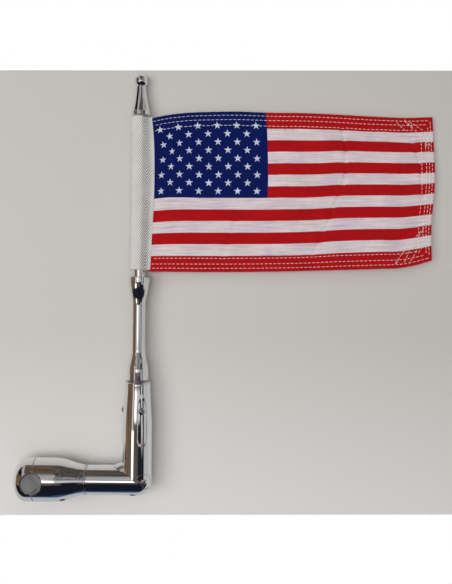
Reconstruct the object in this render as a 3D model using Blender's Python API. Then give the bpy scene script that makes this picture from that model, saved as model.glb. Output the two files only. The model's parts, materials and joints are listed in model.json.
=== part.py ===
"""Folding flag mount for a round rack bar: split clamp, swivel arm, folding upright, rod, flag and finial.

Run with: blender --background --python part.py
Frame: metres, +Z up along the pole. The origin is the centre of the clamp's bore, whose axis is Y.
The arm runs along +X to the elbow, and the flag flies towards +X.
"""
import math

import bmesh
import bpy
from mathutils import Matrix, Vector

MM = 0.001

# Driving sizes
BAR_DIA = 19.05 * MM            # rack bar that the clamp grips
CLAMP_DIA = 41.3 * MM           # round clamp body
CLAMP_END = 19.2 * MM           # bore axis to the cap's outer end
CLAMP_END_ROUND = 13.0 * MM     # rounding of the cap's outer end
TAPER_START = 19.0 * MM         # where the clamp body starts to narrow
TAPER_RUN = 31.0 * MM
SEAM_X = 48.4 * MM              # middle of the swivel washer
TUBE_DIA = 28.6 * MM            # elbow arm and lower upright
ARM_REACH = 96.0 * MM           # bore axis to the pole axis
FOLD_PIN_OFFSET = 7.2 * MM      # fold pin beyond the pole axis
FOLD_PIN_RISE = 1.0 * MM
SEAT_ANGLE = math.radians(24)   # slope of the seat between the arm and the upright
RECEIVER_TOP = 94.0 * MM
RECEIVER_TOP_DIA = 23.4 * MM
RECEIVER_TAPER_END = 48.0 * MM  # below this height the upright is as wide as the arm
SCREW_HEIGHT = 67.4 * MM        # receiver screws
HOLDER_DIA = 20.0 * MM
HOLDER_WAIST_DIA = 13.0 * MM
HOLDER_LENGTH = 98.4 * MM
SPIGOT_DIA = 15.8 * MM          # spigot of the holder in the receiver
SPIGOT_LENGTH = 33.0 * MM
ROD_DIA = 11.1 * MM
ROD_EXPOSED = 153.4 * MM        # rod between the holder and the finial
ROD_SEAT = 18.0 * MM            # rod inside the holder
SLEEVE_LENGTH = 146.6 * MM
SLEEVE_BACK = 8.3 * MM          # rod axis to the sleeve's folded edge
SLEEVE_FRONT = 11.4 * MM        # rod axis to the seam with the cloth
SLEEVE_HALF_DEPTH = 7.6 * MM
FLAG_FLY = 269.0 * MM           # seam to the free end
FLAG_HOIST = 147.0 * MM
FLAG_THICKNESS = 1.0 * MM
FINIAL_DIA = 17.8 * MM
FINIAL_NECK_DIA = 9.4 * MM
FINIAL_RIM = 4.6 * MM           # height of the finial's cylindrical rim
FINIAL_CONE = 28.4 * MM         # height of rim and cone together
BALL_DIA = 12.7 * MM

# Fasteners
CAP_SCREW_DIA = 5.0 * MM
CAP_SCREW_HEAD_DIA = 8.5 * MM
CAP_SCREW_HEAD = 5.0 * MM
CAP_SCREW_OFFSET = 14.5 * MM    # screw axis above and below the bore axis
CAP_SCREW_SEAT = 8.8 * MM       # split plane to the screw head's seat
CAP_SCREW_REACH = 13.0 * MM     # screw length inside the body
SET_SCREW_DIA = 5.0 * MM
SET_SCREW_CONE = 1.2 * MM       # height and width of the cone point
SWIVEL_SCREW_LENGTH = 6.0 * MM
LOCK_SCREW_LENGTH = 4.5 * MM
SET_SCREW_TILT = math.radians(30)   # set screws lean from straight down towards -Y
BUTTON_SCREW_DIA = 4.0 * MM
BUTTON_HEAD_DIA = 6.8 * MM
BUTTON_HEAD = 2.4 * MM
SWIVEL_DIA = 16.0 * MM
SWIVEL_GROOVE = 1.2 * MM
SWIVEL_GROOVE_WIDTH = 6.0 * MM
SWIVEL_SCREW_X = 27.6 * MM
SWIVEL_INNER_END = 17.5 * MM
SWIVEL_OUTER_END = 68.0 * MM
WASHER_THICKNESS = 1.2 * MM
HINGE_PIN_DIA = 4.8 * MM
KNUCKLE_DIA = 14.2 * MM         # round boss on each cheek
TONGUE_DIA = 23.0 * MM
TONGUE_THICKNESS = 12.0 * MM
TONGUE_INSET = 0.2 * MM         # how far the tongue and the knuckles lie inside the elbow's outer shape
KNUCKLE_INSET = 0.12 * MM
UPRIGHT_STEP = 0.1 * MM         # how much slimmer the upright is than the arm
WEB_START = Vector((-18.0, 0, 0.6)) * MM    # axis of the web in the inner corner, from the pole axis
WEB_END = Vector((-4.6, 0, 7.2)) * MM
WEB_INSET = 0.6 * MM
LOCK_SCREW_BACK = 3.0 * MM      # pole axis to the fold lock screw
FLAT_DEPTH = 12.4 * MM          # pole axis to the milled flats
FLAT_WIDTH = 8.6 * MM
FLAT_BOTTOM = 35.3 * MM
FLAT_TOP = 86.0 * MM
SCREW_ANGLES = {"front": 25, "rear": 145, "left": -95}   # degrees from -Y towards +X
RING_THICKNESS = 0.9 * MM
STUD_DIA = 5.0 * MM

# Fits
GAP = 0.3 * MM                  # between pieces that touch
PIN_FIT = 0.15 * MM             # radial, on turned pins and screws
SLIP_FIT = 0.6 * MM             # radial, sleeve on rod
SPLIT_GAP = 0.5 * MM            # between the clamp halves

TUBE_SIDES = 36
SMALL_SIDES = 16
OVERSHOOT = 1.0 * MM            # how far a cutter passes a face

FOLD_PIN = Vector((ARM_REACH + FOLD_PIN_OFFSET, 0, FOLD_PIN_RISE))
POLE_AXIS = Vector((ARM_REACH, 0, 0))
LOCK_SCREW_X = ARM_REACH - LOCK_SCREW_BACK
HOLDER_BASE = RECEIVER_TOP + RING_THICKNESS + 2 * GAP
HOLDER_TOP = HOLDER_BASE + HOLDER_LENGTH
FINIAL_BASE = HOLDER_TOP + ROD_EXPOSED + GAP
ALONG_X = Matrix.Rotation(math.pi / 2, 4, "Y")
ALONG_Y = Matrix.Rotation(-math.pi / 2, 4, "X")


def material(name, color, metallic, roughness):
    mat = bpy.data.materials.new(name)
    mat.use_nodes = True
    shader = mat.node_tree.nodes["Principled BSDF"]
    shader.inputs["Base Color"].default_value = (*color, 1)
    shader.inputs["Metallic"].default_value = metallic
    shader.inputs["Roughness"].default_value = roughness
    return mat


def link(name, bm, mat, smooth_angle=35):
    """Turn a bmesh into an object with one material, shaded smooth except at sharp edges."""
    bmesh.ops.recalc_face_normals(bm, faces=bm.faces)
    mesh = bpy.data.meshes.new(name)
    bm.to_mesh(mesh)
    bm.free()
    mesh.shade_smooth()
    mesh.set_sharp_from_angle(angle=math.radians(smooth_angle))
    obj = bpy.data.objects.new(name, mesh)
    bpy.context.collection.objects.link(obj)
    if mat:
        mesh.materials.append(mat)
    return obj


def turned(name, outline, mat=None, sides=TUBE_SIDES):
    """Spin an outline of (radius, height) points about Z. An open end is closed with a flat face."""
    bm = bmesh.new()
    verts = [bm.verts.new((radius, 0, height)) for radius, height in outline]
    edges = [bm.edges.new(pair) for pair in zip(verts, verts[1:])]
    bmesh.ops.spin(bm, geom=verts + edges, cent=(0, 0, 0), axis=(0, 0, 1), angle=2 * math.pi, steps=sides)
    bmesh.ops.remove_doubles(bm, verts=bm.verts, dist=0.002 * MM)
    open_edges = [edge for edge in bm.edges if edge.is_boundary]
    if open_edges:
        bmesh.ops.holes_fill(bm, edges=open_edges)
    return link(name, bm, mat)


def rod_shape(name, radius, low, high, mat=None, sides=SMALL_SIDES, chamfer=0.0):
    """A cylinder on the Z axis from low to high, with an optional chamfer at each end."""
    if chamfer:
        outline = [(radius - chamfer, low), (radius, low + chamfer), (radius, high - chamfer),
                   (radius - chamfer, high)]
    else:
        outline = [(radius, low), (radius, high)]
    return turned(name, outline, mat, sides)


def box_shape(name, low, high):
    bm = bmesh.new()
    bmesh.ops.create_cube(bm, size=1)
    low, high = Vector(low), Vector(high)
    bmesh.ops.scale(bm, vec=high - low, verts=bm.verts)
    bmesh.ops.translate(bm, vec=(low + high) / 2, verts=bm.verts)
    return link(name, bm, None)


def place(obj, matrix):
    obj.matrix_world = matrix
    return obj


def apply_boolean(obj, tool, operation):
    """Join, cut or intersect obj with tool. The tool stays as a hidden guide."""
    modifier = obj.modifiers.new(tool.name, "BOOLEAN")
    modifier.operation = operation
    modifier.object = tool
    tool.hide_render = True
    tool.display_type = "WIRE"
    return obj


def cut(obj, *tools):
    for tool in tools:
        apply_boolean(obj, tool, "DIFFERENCE")
    return obj


def join(obj, *tools):
    for tool in tools:
        apply_boolean(obj, tool, "UNION")
    return obj


def keep(obj, tool):
    return apply_boolean(obj, tool, "INTERSECT")


def at(x, y, z):
    return Matrix.Translation((x, y, z))


def ease(share):
    """Smooth step from 0 to 1 with level ends."""
    return 0.5 - 0.5 * math.cos(math.pi * share)


def arc(center, radius, start, end, steps):
    """Points of an arc in an outline, from start to end in degrees."""
    points = []
    for step in range(steps + 1):
        angle = math.radians(start + (end - start) * step / steps)
        points.append((center[0] + radius * math.cos(angle), center[1] + radius * math.sin(angle)))
    return points


def socket(name, across_flats, depth):
    """A hexagonal socket cutter on Z, from -depth up to just above the face at height 0."""
    return rod_shape(name, across_flats / math.sqrt(3), -depth, OVERSHOOT, sides=6)


# Clamp ---------------------------------------------------------------------------------------

def clamp_radius(x):
    """Outer radius of the tapering clamp body at distance x from the bore axis."""
    share = min(max((x - TAPER_START) / TAPER_RUN, 0), 1)
    return CLAMP_DIA / 2 + (TUBE_DIA - CLAMP_DIA) / 2 * ease(share)


def bar_cutter(name):
    """Bore for the bar, right through the clamp."""
    radius = BAR_DIA / 2
    reach = CLAMP_DIA / 2 + OVERSHOOT
    return place(rod_shape(name, radius, -reach, reach, sides=TUBE_SIDES), ALONG_Y)


def cap_screw_hole(name, side, radius, start, end):
    hole = rod_shape(name, radius, start, end)
    return place(hole, at(0, 0, side * CAP_SCREW_OFFSET) @ ALONG_X)


def make_clamp_cap(chrome):
    flat_radius = CLAMP_DIA / 2 - CLAMP_END_ROUND
    rounding = arc((flat_radius, -CLAMP_END + CLAMP_END_ROUND), CLAMP_END_ROUND, -90, 0, 8)
    outline = rounding + [(CLAMP_DIA / 2, -SPLIT_GAP / 2)]
    cap = place(turned("clamp_cap", outline, chrome), ALONG_X)
    cut(cap, bar_cutter("cap_bore_cutter"))
    for side, word in ((1, "upper"), (-1, "lower")):
        shank = CAP_SCREW_DIA / 2 + GAP
        head = CAP_SCREW_HEAD_DIA / 2 + GAP
        cut(cap, cap_screw_hole(f"cap_hole_{word}", side, shank, -CAP_SCREW_SEAT - OVERSHOOT, OVERSHOOT))
        cut(cap, cap_screw_hole(f"cap_counterbore_{word}", side, head, -CLAMP_END - OVERSHOOT, -CAP_SCREW_SEAT))
    return cap


def make_clamp_body(chrome):
    end = SEAM_X - WASHER_THICKNESS / 2 - GAP
    steps = 9
    taper = [TAPER_START + (end - TAPER_START) * step / steps for step in range(steps + 1)]
    outline = [(CLAMP_DIA / 2, SPLIT_GAP / 2)] + [(clamp_radius(x), x) for x in taper]
    body = place(turned("clamp_body", outline, chrome), ALONG_X)
    cut(body, bar_cutter("body_bore_cutter"))
    spigot_hole = rod_shape("swivel_hole_cutter", SWIVEL_DIA / 2 + PIN_FIT, SWIVEL_INNER_END - GAP, end + OVERSHOOT,
                            sides=TUBE_SIDES)
    cut(body, place(spigot_hole, ALONG_X))
    for side, word in ((1, "upper"), (-1, "lower")):
        radius = CAP_SCREW_DIA / 2 + PIN_FIT
        cut(body, cap_screw_hole(f"body_hole_{word}", side, radius, -OVERSHOOT, CAP_SCREW_REACH + 2 * GAP))
    cut(body, set_screw_hole("swivel_screw_hole", SWIVEL_SCREW_X, SWIVEL_DIA / 2 - OVERSHOOT))
    return body


def make_cap_screw(word, side, steel):
    radius = CAP_SCREW_DIA / 2
    head = CAP_SCREW_HEAD_DIA / 2
    back = -CAP_SCREW_SEAT - GAP - CAP_SCREW_HEAD
    chamfer = 0.5 * MM
    outline = [(head - chamfer, back), (head, back + chamfer), (head, back + CAP_SCREW_HEAD),
               (radius, back + CAP_SCREW_HEAD), (radius, CAP_SCREW_REACH - chamfer),
               (radius - chamfer, CAP_SCREW_REACH)]
    frame = at(0, 0, side * CAP_SCREW_OFFSET) @ ALONG_X
    screw = place(turned(f"cap_screw_{word}", outline, steel, SMALL_SIDES), frame)
    hexagon = socket(f"cap_screw_socket_{word}", 4 * MM, 2.5 * MM)
    cut(screw, place(hexagon, frame @ at(0, 0, back) @ Matrix.Rotation(math.pi, 4, "X")))
    return screw


# Set screws under the arm --------------------------------------------------------------------

def set_screw_frame(x):
    """Local +Z points out of the arm, down and towards -Y."""
    return at(x, 0, 0) @ Matrix.Rotation(math.pi - SET_SCREW_TILT, 4, "X")


def set_screw_hole(name, x, start):
    hole = rod_shape(name, SET_SCREW_DIA / 2 + PIN_FIT, start, CLAMP_DIA / 2 + OVERSHOOT)
    return place(hole, set_screw_frame(x))


def make_set_screw(name, x, tip, length, steel):
    """A headless screw with a cone point that stands at the given distance from the arm's axis."""
    radius = SET_SCREW_DIA / 2
    top = tip + length
    edge = 0.4 * MM
    outline = [(radius - SET_SCREW_CONE, tip), (radius, tip + SET_SCREW_CONE), (radius, top - edge),
               (radius - edge, top)]
    screw = place(turned(name, outline, steel, SMALL_SIDES), set_screw_frame(x))
    return cut(screw, place(socket(f"{name}_socket", 2.5 * MM, 2.0 * MM), set_screw_frame(x) @ at(0, 0, top)))


def lock_screw_tip():
    """Distance from the arm's axis at which the fold lock screw's point clears the rim of the tongue."""
    point = SET_SCREW_DIA / 2 - SET_SCREW_CONE
    back = FOLD_PIN.x - LOCK_SCREW_X - point
    rim = math.sqrt((TONGUE_DIA / 2) ** 2 - back ** 2) - FOLD_PIN.z
    return (rim + GAP + point * math.sin(SET_SCREW_TILT)) / math.cos(SET_SCREW_TILT)


# Swivel --------------------------------------------------------------------------------------

def make_swivel_washer(chrome):
    outer = TUBE_DIA / 2 + 0.1 * MM
    inner = SWIVEL_DIA / 2 + PIN_FIT
    half = WASHER_THICKNESS / 2
    edge = 0.3 * MM
    outline = [(inner, -half), (outer - edge, -half), (outer, -half + edge), (outer, half - edge),
               (outer - edge, half), (inner, half), (inner, -half)]
    return place(turned("swivel_washer", outline, chrome), at(SEAM_X, 0, 0) @ ALONG_X)


def make_swivel_spigot(steel):
    radius = SWIVEL_DIA / 2
    bottom = radius - SWIVEL_GROOVE
    near = SWIVEL_SCREW_X - SWIVEL_GROOVE_WIDTH / 2
    far = SWIVEL_SCREW_X + SWIVEL_GROOVE_WIDTH / 2
    chamfer = 0.8 * MM
    outline = [(radius - chamfer, SWIVEL_INNER_END), (radius, SWIVEL_INNER_END + chamfer), (radius, near),
               (bottom, near + SWIVEL_GROOVE), (bottom, far - SWIVEL_GROOVE), (radius, far),
               (radius, SWIVEL_OUTER_END - chamfer), (radius - chamfer, SWIVEL_OUTER_END)]
    return place(turned("swivel_spigot", outline, steel), ALONG_X)


# Elbow ---------------------------------------------------------------------------------------

def elbow_envelope(name, mat, inset=0.0, upright_outline=None):
    """Outer shape shared by the arm and the upright: two round-ended tubes and a short web between them."""
    radius = TUBE_DIA / 2 - inset
    arm_length = ARM_REACH - SEAM_X - WASHER_THICKNESS / 2 - GAP
    arm = turned(name, [(radius, -arm_length)] + arc((0, 0), radius, 0, 90, 8), mat)
    place(arm, at(*POLE_AXIS) @ ALONG_X)
    slim = radius - UPRIGHT_STEP
    outline = upright_outline or [(slim, 2 * TUBE_DIA)]
    upright = turned(f"{name}_upright", arc((0, 0), slim, -90, 0, 8) + outline)
    web_start = POLE_AXIS + WEB_START
    web_axis = WEB_END - WEB_START
    web = rod_shape(f"{name}_web", radius - WEB_INSET, 0, web_axis.length, sides=TUBE_SIDES)
    place(web, at(*web_start) @ web_axis.to_track_quat("Z", "X").to_matrix().to_4x4())
    return join(arm, place(upright, at(*POLE_AXIS)), web)


def seat_block(name, side):
    """A large block on one side of the sloping seat: side 1 is above it and side -1 below."""
    reach = 130 * MM
    low = (-reach, -reach, GAP / 2) if side > 0 else (-reach, -reach, -reach)
    high = (reach, reach, reach) if side > 0 else (reach, reach, -GAP / 2)
    block = box_shape(name, low, high)
    return place(block, at(*FOLD_PIN) @ Matrix.Rotation(SEAT_ANGLE, 4, "Y"))


def pin_disc(name, diameter, low_y, high_y, sides=TUBE_SIDES):
    """A disc about the fold pin between two distances along Y."""
    return place(rod_shape(name, diameter / 2, low_y, high_y, sides=sides), at(*FOLD_PIN) @ ALONG_Y)


def corner_box(name, low_x, low_z, high_z, half_width):
    reach = TUBE_DIA
    return box_shape(name, (low_x, -half_width, low_z), (FOLD_PIN.x + reach, half_width, high_z))


def make_elbow_arm(chrome):
    slot = TONGUE_THICKNESS / 2 + GAP
    reach = TUBE_DIA
    arm = elbow_envelope("elbow_arm", chrome)
    keep(arm, seat_block("arm_seat_block", -1))
    ledge = FOLD_PIN.z - KNUCKLE_DIA / 2 - GAP
    cut(arm, corner_box("arm_ledge_cutter", FOLD_PIN.x, ledge, reach, reach))
    knuckle = pin_disc("knuckle", KNUCKLE_DIA, -reach, reach)
    join(arm, keep(knuckle, elbow_envelope("knuckle_limit", None, KNUCKLE_INSET)))
    cut(arm, pin_disc("tongue_slot_cutter", TONGUE_DIA + 2 * GAP, -slot, slot))
    cut(arm, corner_box("slot_end_cutter", FOLD_PIN.x + 1 * MM, -reach, reach, slot))
    cut(arm, pin_disc("arm_pin_hole", HINGE_PIN_DIA + 2 * PIN_FIT, -reach, reach, SMALL_SIDES))
    spigot_hole = rod_shape("arm_spigot_hole", SWIVEL_DIA / 2 + PIN_FIT, SEAM_X - OVERSHOOT, SWIVEL_OUTER_END + GAP,
                            sides=TUBE_SIDES)
    cut(arm, place(spigot_hole, ALONG_X))
    return cut(arm, set_screw_hole("lock_screw_hole", LOCK_SCREW_X, 6 * MM))


def make_hinge_pin(steel):
    half = math.sqrt((TUBE_DIA / 2) ** 2 - FOLD_PIN_OFFSET ** 2) - 0.4 * MM
    pin = rod_shape("hinge_pin", HINGE_PIN_DIA / 2, -half, half, steel, chamfer=0.4 * MM)
    return place(pin, at(*FOLD_PIN) @ ALONG_Y)


# Upright -------------------------------------------------------------------------------------

def radial(angle):
    """Local +Z points out of the pole at the screws' height. The angle runs from -Y towards +X."""
    turn = math.radians(angle)
    outward = Vector((math.sin(turn), -math.cos(turn), 0))
    return at(*(POLE_AXIS + Vector((0, 0, SCREW_HEIGHT)))) @ outward.to_track_quat("Z", "Y").to_matrix().to_4x4()


def flat_cutter(name, angle):
    """Milled flat: a slab outside the flat's plane with a round lower end."""
    half = FLAT_WIDTH / 2
    bm = bmesh.new()
    round_end = arc((0, FLAT_BOTTOM - SCREW_HEIGHT + half), half, 180, 360, 10)
    outline = round_end + [(half, FLAT_TOP - SCREW_HEIGHT), (-half, FLAT_TOP - SCREW_HEIGHT)]
    face = bm.faces.new([bm.verts.new((x, y, FLAT_DEPTH)) for x, y in outline])
    grown = bmesh.ops.extrude_face_region(bm, geom=[face])
    moved = [item for item in grown["geom"] if isinstance(item, bmesh.types.BMVert)]
    bmesh.ops.translate(bm, vec=(0, 0, TUBE_DIA / 2), verts=moved)
    return place(link(name, bm, None), radial(angle))


def make_upright(chrome):
    radius = TUBE_DIA / 2
    low_radius = radius - UPRIGHT_STEP
    top_radius = RECEIVER_TOP_DIA / 2
    reach = TUBE_DIA
    half_tongue = TONGUE_THICKNESS / 2
    lip = 1.4 * MM
    steps = 8
    span = RECEIVER_TOP - lip - RECEIVER_TAPER_END
    outline = []
    for step in range(steps + 1):
        share = step / steps
        width = low_radius + (top_radius + lip / 3 - low_radius) * ease(share)
        outline.append((width, RECEIVER_TAPER_END + span * share))
    outline.append((top_radius, RECEIVER_TOP - lip / 2))
    outline.append((top_radius - lip / 2, RECEIVER_TOP))
    upright = elbow_envelope("upright_receiver", chrome, upright_outline=outline)
    keep(upright, seat_block("upright_seat_block", 1))
    cut(upright, corner_box("upright_corner_cutter", FOLD_PIN.x, -reach, FOLD_PIN.z, reach))
    tongue = pin_disc("tongue", TONGUE_DIA, -half_tongue, half_tongue)
    join(upright, keep(tongue, elbow_envelope("tongue_limit", None, TONGUE_INSET)))
    for side, word in ((1, "rear"), (-1, "front")):
        low, high = sorted((side * (half_tongue + GAP / 3), side * reach))
        cut(upright, pin_disc(f"knuckle_relief_{word}", KNUCKLE_DIA + 2 * GAP, low, high))
    cut(upright, pin_disc("tongue_pin_hole", HINGE_PIN_DIA + 2 * PIN_FIT, -reach, reach, SMALL_SIDES))
    socket_hole = rod_shape("socket_cutter", SPIGOT_DIA / 2 + PIN_FIT, HOLDER_BASE - SPIGOT_LENGTH - 2 * GAP,
                            RECEIVER_TOP + OVERSHOOT, sides=TUBE_SIDES)
    cut(upright, place(socket_hole, at(*POLE_AXIS)))
    for word, angle in SCREW_ANGLES.items():
        cut(upright, flat_cutter(f"flat_{word}", angle))
        hole = rod_shape(f"receiver_hole_{word}", BUTTON_SCREW_DIA / 2 + PIN_FIT, SPIGOT_DIA / 2 - OVERSHOOT, radius)
        cut(upright, place(hole, radial(angle)))
    return upright


def make_receiver_screw(word, angle, steel):
    """Button-head screw whose tip stops just short of the holder's spigot."""
    tip = SPIGOT_DIA / 2 + GAP
    seat = FLAT_DEPTH + GAP
    radius = BUTTON_SCREW_DIA / 2
    head = BUTTON_HEAD_DIA / 2
    dome = [(head * math.cos(turn), seat + 0.6 * MM + (BUTTON_HEAD - 0.6 * MM) * math.sin(turn))
            for turn in (math.radians(step * 15) for step in range(5))]
    outline = [(radius - 0.4 * MM, tip), (radius, tip + 0.4 * MM), (radius, seat), (head, seat)] + dome
    screw = place(turned(f"receiver_screw_{word}", outline, steel, SMALL_SIDES), radial(angle))
    hexagon = socket(f"receiver_socket_{word}", 2.5 * MM, 1.3 * MM)
    return cut(screw, place(hexagon, radial(angle) @ at(0, 0, seat + BUTTON_HEAD - 0.2 * MM)))


# Pole ----------------------------------------------------------------------------------------

def make_seat_ring(steel):
    outer = RECEIVER_TOP_DIA / 2 - 0.2 * MM
    inner = SPIGOT_DIA / 2 + GAP
    low = RECEIVER_TOP + GAP
    high = low + RING_THICKNESS
    edge = 0.25 * MM
    outline = [(inner, low), (outer - edge, low), (outer, low + edge), (outer, high - edge), (outer - edge, high),
               (inner, high), (inner, low)]
    return place(turned("seat_ring", outline, steel), at(*POLE_AXIS))


def make_pole_holder(chrome):
    radius = HOLDER_DIA / 2
    waist = HOLDER_WAIST_DIA / 2
    spigot = SPIGOT_DIA / 2
    foot = HOLDER_BASE + 8.0 * MM         # top of the lower collar
    waist_low = HOLDER_BASE + 29.0 * MM
    waist_high = HOLDER_TOP - 28.0 * MM
    head = HOLDER_TOP - 3.0 * MM          # underside of the upper collar
    chamfer = 0.7 * MM
    steps = 7
    outline = [(spigot - chamfer, HOLDER_BASE - SPIGOT_LENGTH), (spigot, HOLDER_BASE - SPIGOT_LENGTH + chamfer),
               (spigot, HOLDER_BASE), (radius - chamfer, HOLDER_BASE), (radius, HOLDER_BASE + chamfer)]
    for step in range(steps + 1):
        share = step / steps
        outline.append((radius + (waist - radius) * ease(share), foot + (waist_low - foot) * share))
    for step in range(steps + 1):
        share = step / steps
        outline.append((waist + (radius - waist) * ease(share), waist_high + (head - waist_high) * share))
    outline += [(radius, HOLDER_TOP - chamfer), (radius - chamfer, HOLDER_TOP)]
    holder = place(turned("pole_holder", outline, chrome), at(*POLE_AXIS))
    hole = rod_shape("rod_seat_cutter", ROD_DIA / 2 + PIN_FIT, HOLDER_TOP - ROD_SEAT - GAP, HOLDER_TOP + OVERSHOOT,
                     sides=TUBE_SIDES)
    return cut(holder, place(hole, at(*POLE_AXIS)))


def make_pole_rod(chrome):
    top = FINIAL_BASE - GAP
    rod = rod_shape("pole_rod", ROD_DIA / 2, HOLDER_TOP - ROD_SEAT, top, chrome, TUBE_SIDES, chamfer=0.6 * MM)
    place(rod, at(*POLE_AXIS))
    hole = rod_shape("stud_hole_cutter", STUD_DIA / 2 + PIN_FIT, top - 13 * MM, top + OVERSHOOT)
    return cut(rod, place(hole, at(*POLE_AXIS)))


# Flag ----------------------------------------------------------------------------------------

def make_flag_sleeve(cloth):
    """Fabric tube round the rod, drawn out towards the cloth."""
    bm = bmesh.new()
    top = FINIAL_BASE - GAP
    sides = 32
    points = []
    for step in range(sides):
        turn = 2 * math.pi * step / sides
        reach = SLEEVE_FRONT if math.cos(turn) > 0 else SLEEVE_BACK
        points.append((reach * math.cos(turn), SLEEVE_HALF_DEPTH * math.sin(turn)))
    face = bm.faces.new([bm.verts.new((x, y, top - SLEEVE_LENGTH)) for x, y in points])
    grown = bmesh.ops.extrude_face_region(bm, geom=[face])
    moved = [item for item in grown["geom"] if isinstance(item, bmesh.types.BMVert)]
    bmesh.ops.translate(bm, vec=(0, 0, SLEEVE_LENGTH), verts=moved)
    sleeve = place(link("flag_sleeve", bm, cloth), at(*POLE_AXIS))
    hole = rod_shape("sleeve_hole_cutter", ROD_DIA / 2 + SLIP_FIT, top - SLEEVE_LENGTH - OVERSHOOT, top + OVERSHOOT,
                     sides=TUBE_SIDES)
    return cut(sleeve, place(hole, at(*POLE_AXIS)))


def flag_wave(fly, height):
    """How far the cloth stands off its middle plane: fly and height run from 0 to 1."""
    swell = 2.6 * MM * math.sin(math.pi * (1.7 * fly + 0.35 * height))
    drift = 5.0 * MM * ease(fly)
    return min(1, fly * 6) * swell + drift


def make_flag_cloth(cloth):
    bm = bmesh.new()
    columns, rows = 20, 8
    bmesh.ops.create_grid(bm, x_segments=columns, y_segments=rows, size=0.5)
    start = POLE_AXIS.x + SLEEVE_FRONT + GAP
    top = FINIAL_BASE - GAP
    for vert in bm.verts:
        fly, height = vert.co.x + 0.5, vert.co.y + 0.5
        vert.co = Vector((start + FLAG_FLY * fly, flag_wave(fly, height), top - FLAG_HOIST * (1 - height)))
    flag = link("flag_cloth", bm, cloth)
    thicken = flag.modifiers.new("thickness", "SOLIDIFY")
    thicken.thickness = FLAG_THICKNESS
    thicken.offset = 0
    return flag


# Finial --------------------------------------------------------------------------------------

def make_finial_cone(chrome):
    radius = FINIAL_DIA / 2
    neck = FINIAL_NECK_DIA / 2
    bottom = FINIAL_BASE
    chamfer = 1.2 * MM
    top = bottom + FINIAL_CONE
    outline = [(radius - chamfer, bottom), (radius, bottom + chamfer), (radius, bottom + FINIAL_RIM),
               (radius - 0.4 * MM, bottom + FINIAL_RIM + 0.4 * MM)]
    steps = 6
    cone_start = bottom + FINIAL_RIM + 0.8 * MM
    for step in range(steps + 1):
        share = step / steps
        hollow = 0.5 * MM * math.sin(math.pi * share)
        width = radius - 0.4 * MM + (neck - radius + 0.4 * MM) * share - hollow
        outline.append((width, cone_start + (top - cone_start) * share))
    cone = place(turned("finial_cone", outline, chrome), at(*POLE_AXIS))
    hole = rod_shape("cone_hole_cutter", STUD_DIA / 2 + PIN_FIT, bottom - OVERSHOOT, top + OVERSHOOT)
    return cut(cone, place(hole, at(*POLE_AXIS)))


def ball_center():
    """Height of the ball's centre, so that its flat seats on the cone's neck."""
    flat = math.sqrt((BALL_DIA / 2) ** 2 - (FINIAL_NECK_DIA / 2 - 0.8 * MM) ** 2)
    return FINIAL_BASE + FINIAL_CONE + GAP + flat


def make_finial_ball(chrome):
    radius = BALL_DIA / 2
    center = ball_center()
    flat = FINIAL_BASE + FINIAL_CONE + GAP - center
    start = math.degrees(math.asin(flat / radius))
    outline = arc((0, center), radius, start, 90, 10)
    ball = place(turned("finial_ball", outline, chrome), at(*POLE_AXIS))
    hole = rod_shape("ball_hole_cutter", STUD_DIA / 2 + PIN_FIT, center - BALL_DIA, center - 0.5 * MM)
    return cut(ball, place(hole, at(*POLE_AXIS)))


def make_finial_stud(steel):
    stud = rod_shape("finial_stud", STUD_DIA / 2, FINIAL_BASE - 12 * MM, ball_center() - 0.5 * MM - GAP, steel,
                     chamfer=0.5 * MM)
    return place(stud, at(*POLE_AXIS))


def main():
    for obj in list(bpy.data.objects):
        bpy.data.objects.remove(obj)
    chrome = material("chrome", (0.82, 0.83, 0.85), 1.0, 0.06)
    steel = material("steel", (0.55, 0.56, 0.58), 1.0, 0.25)
    mesh_white = material("mesh_white", (0.86, 0.86, 0.85), 0.0, 0.8)
    flag_red = material("flag_cloth_red", (0.62, 0.03, 0.04), 0.0, 0.7)

    make_clamp_cap(chrome)
    make_clamp_body(chrome)
    for word, side in (("upper", 1), ("lower", -1)):
        make_cap_screw(word, side, steel)
    groove_floor = SWIVEL_DIA / 2 - SWIVEL_GROOVE
    make_set_screw("swivel_set_screw", SWIVEL_SCREW_X, groove_floor + GAP, SWIVEL_SCREW_LENGTH, steel)
    make_swivel_washer(chrome)
    make_swivel_spigot(steel)
    make_elbow_arm(chrome)
    make_hinge_pin(steel)
    make_set_screw("fold_lock_screw", LOCK_SCREW_X, lock_screw_tip(), LOCK_SCREW_LENGTH, steel)
    make_upright(chrome)
    for word, angle in SCREW_ANGLES.items():
        make_receiver_screw(word, angle, steel)
    make_seat_ring(steel)
    make_pole_holder(chrome)
    make_pole_rod(chrome)
    make_flag_sleeve(mesh_white)
    make_flag_cloth(flag_red)
    make_finial_cone(chrome)
    make_finial_ball(chrome)
    make_finial_stud(steel)


main()
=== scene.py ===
import json
import math

import bmesh
import bpy
import numpy as np
from mathutils import Matrix, Vector, noise


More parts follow.
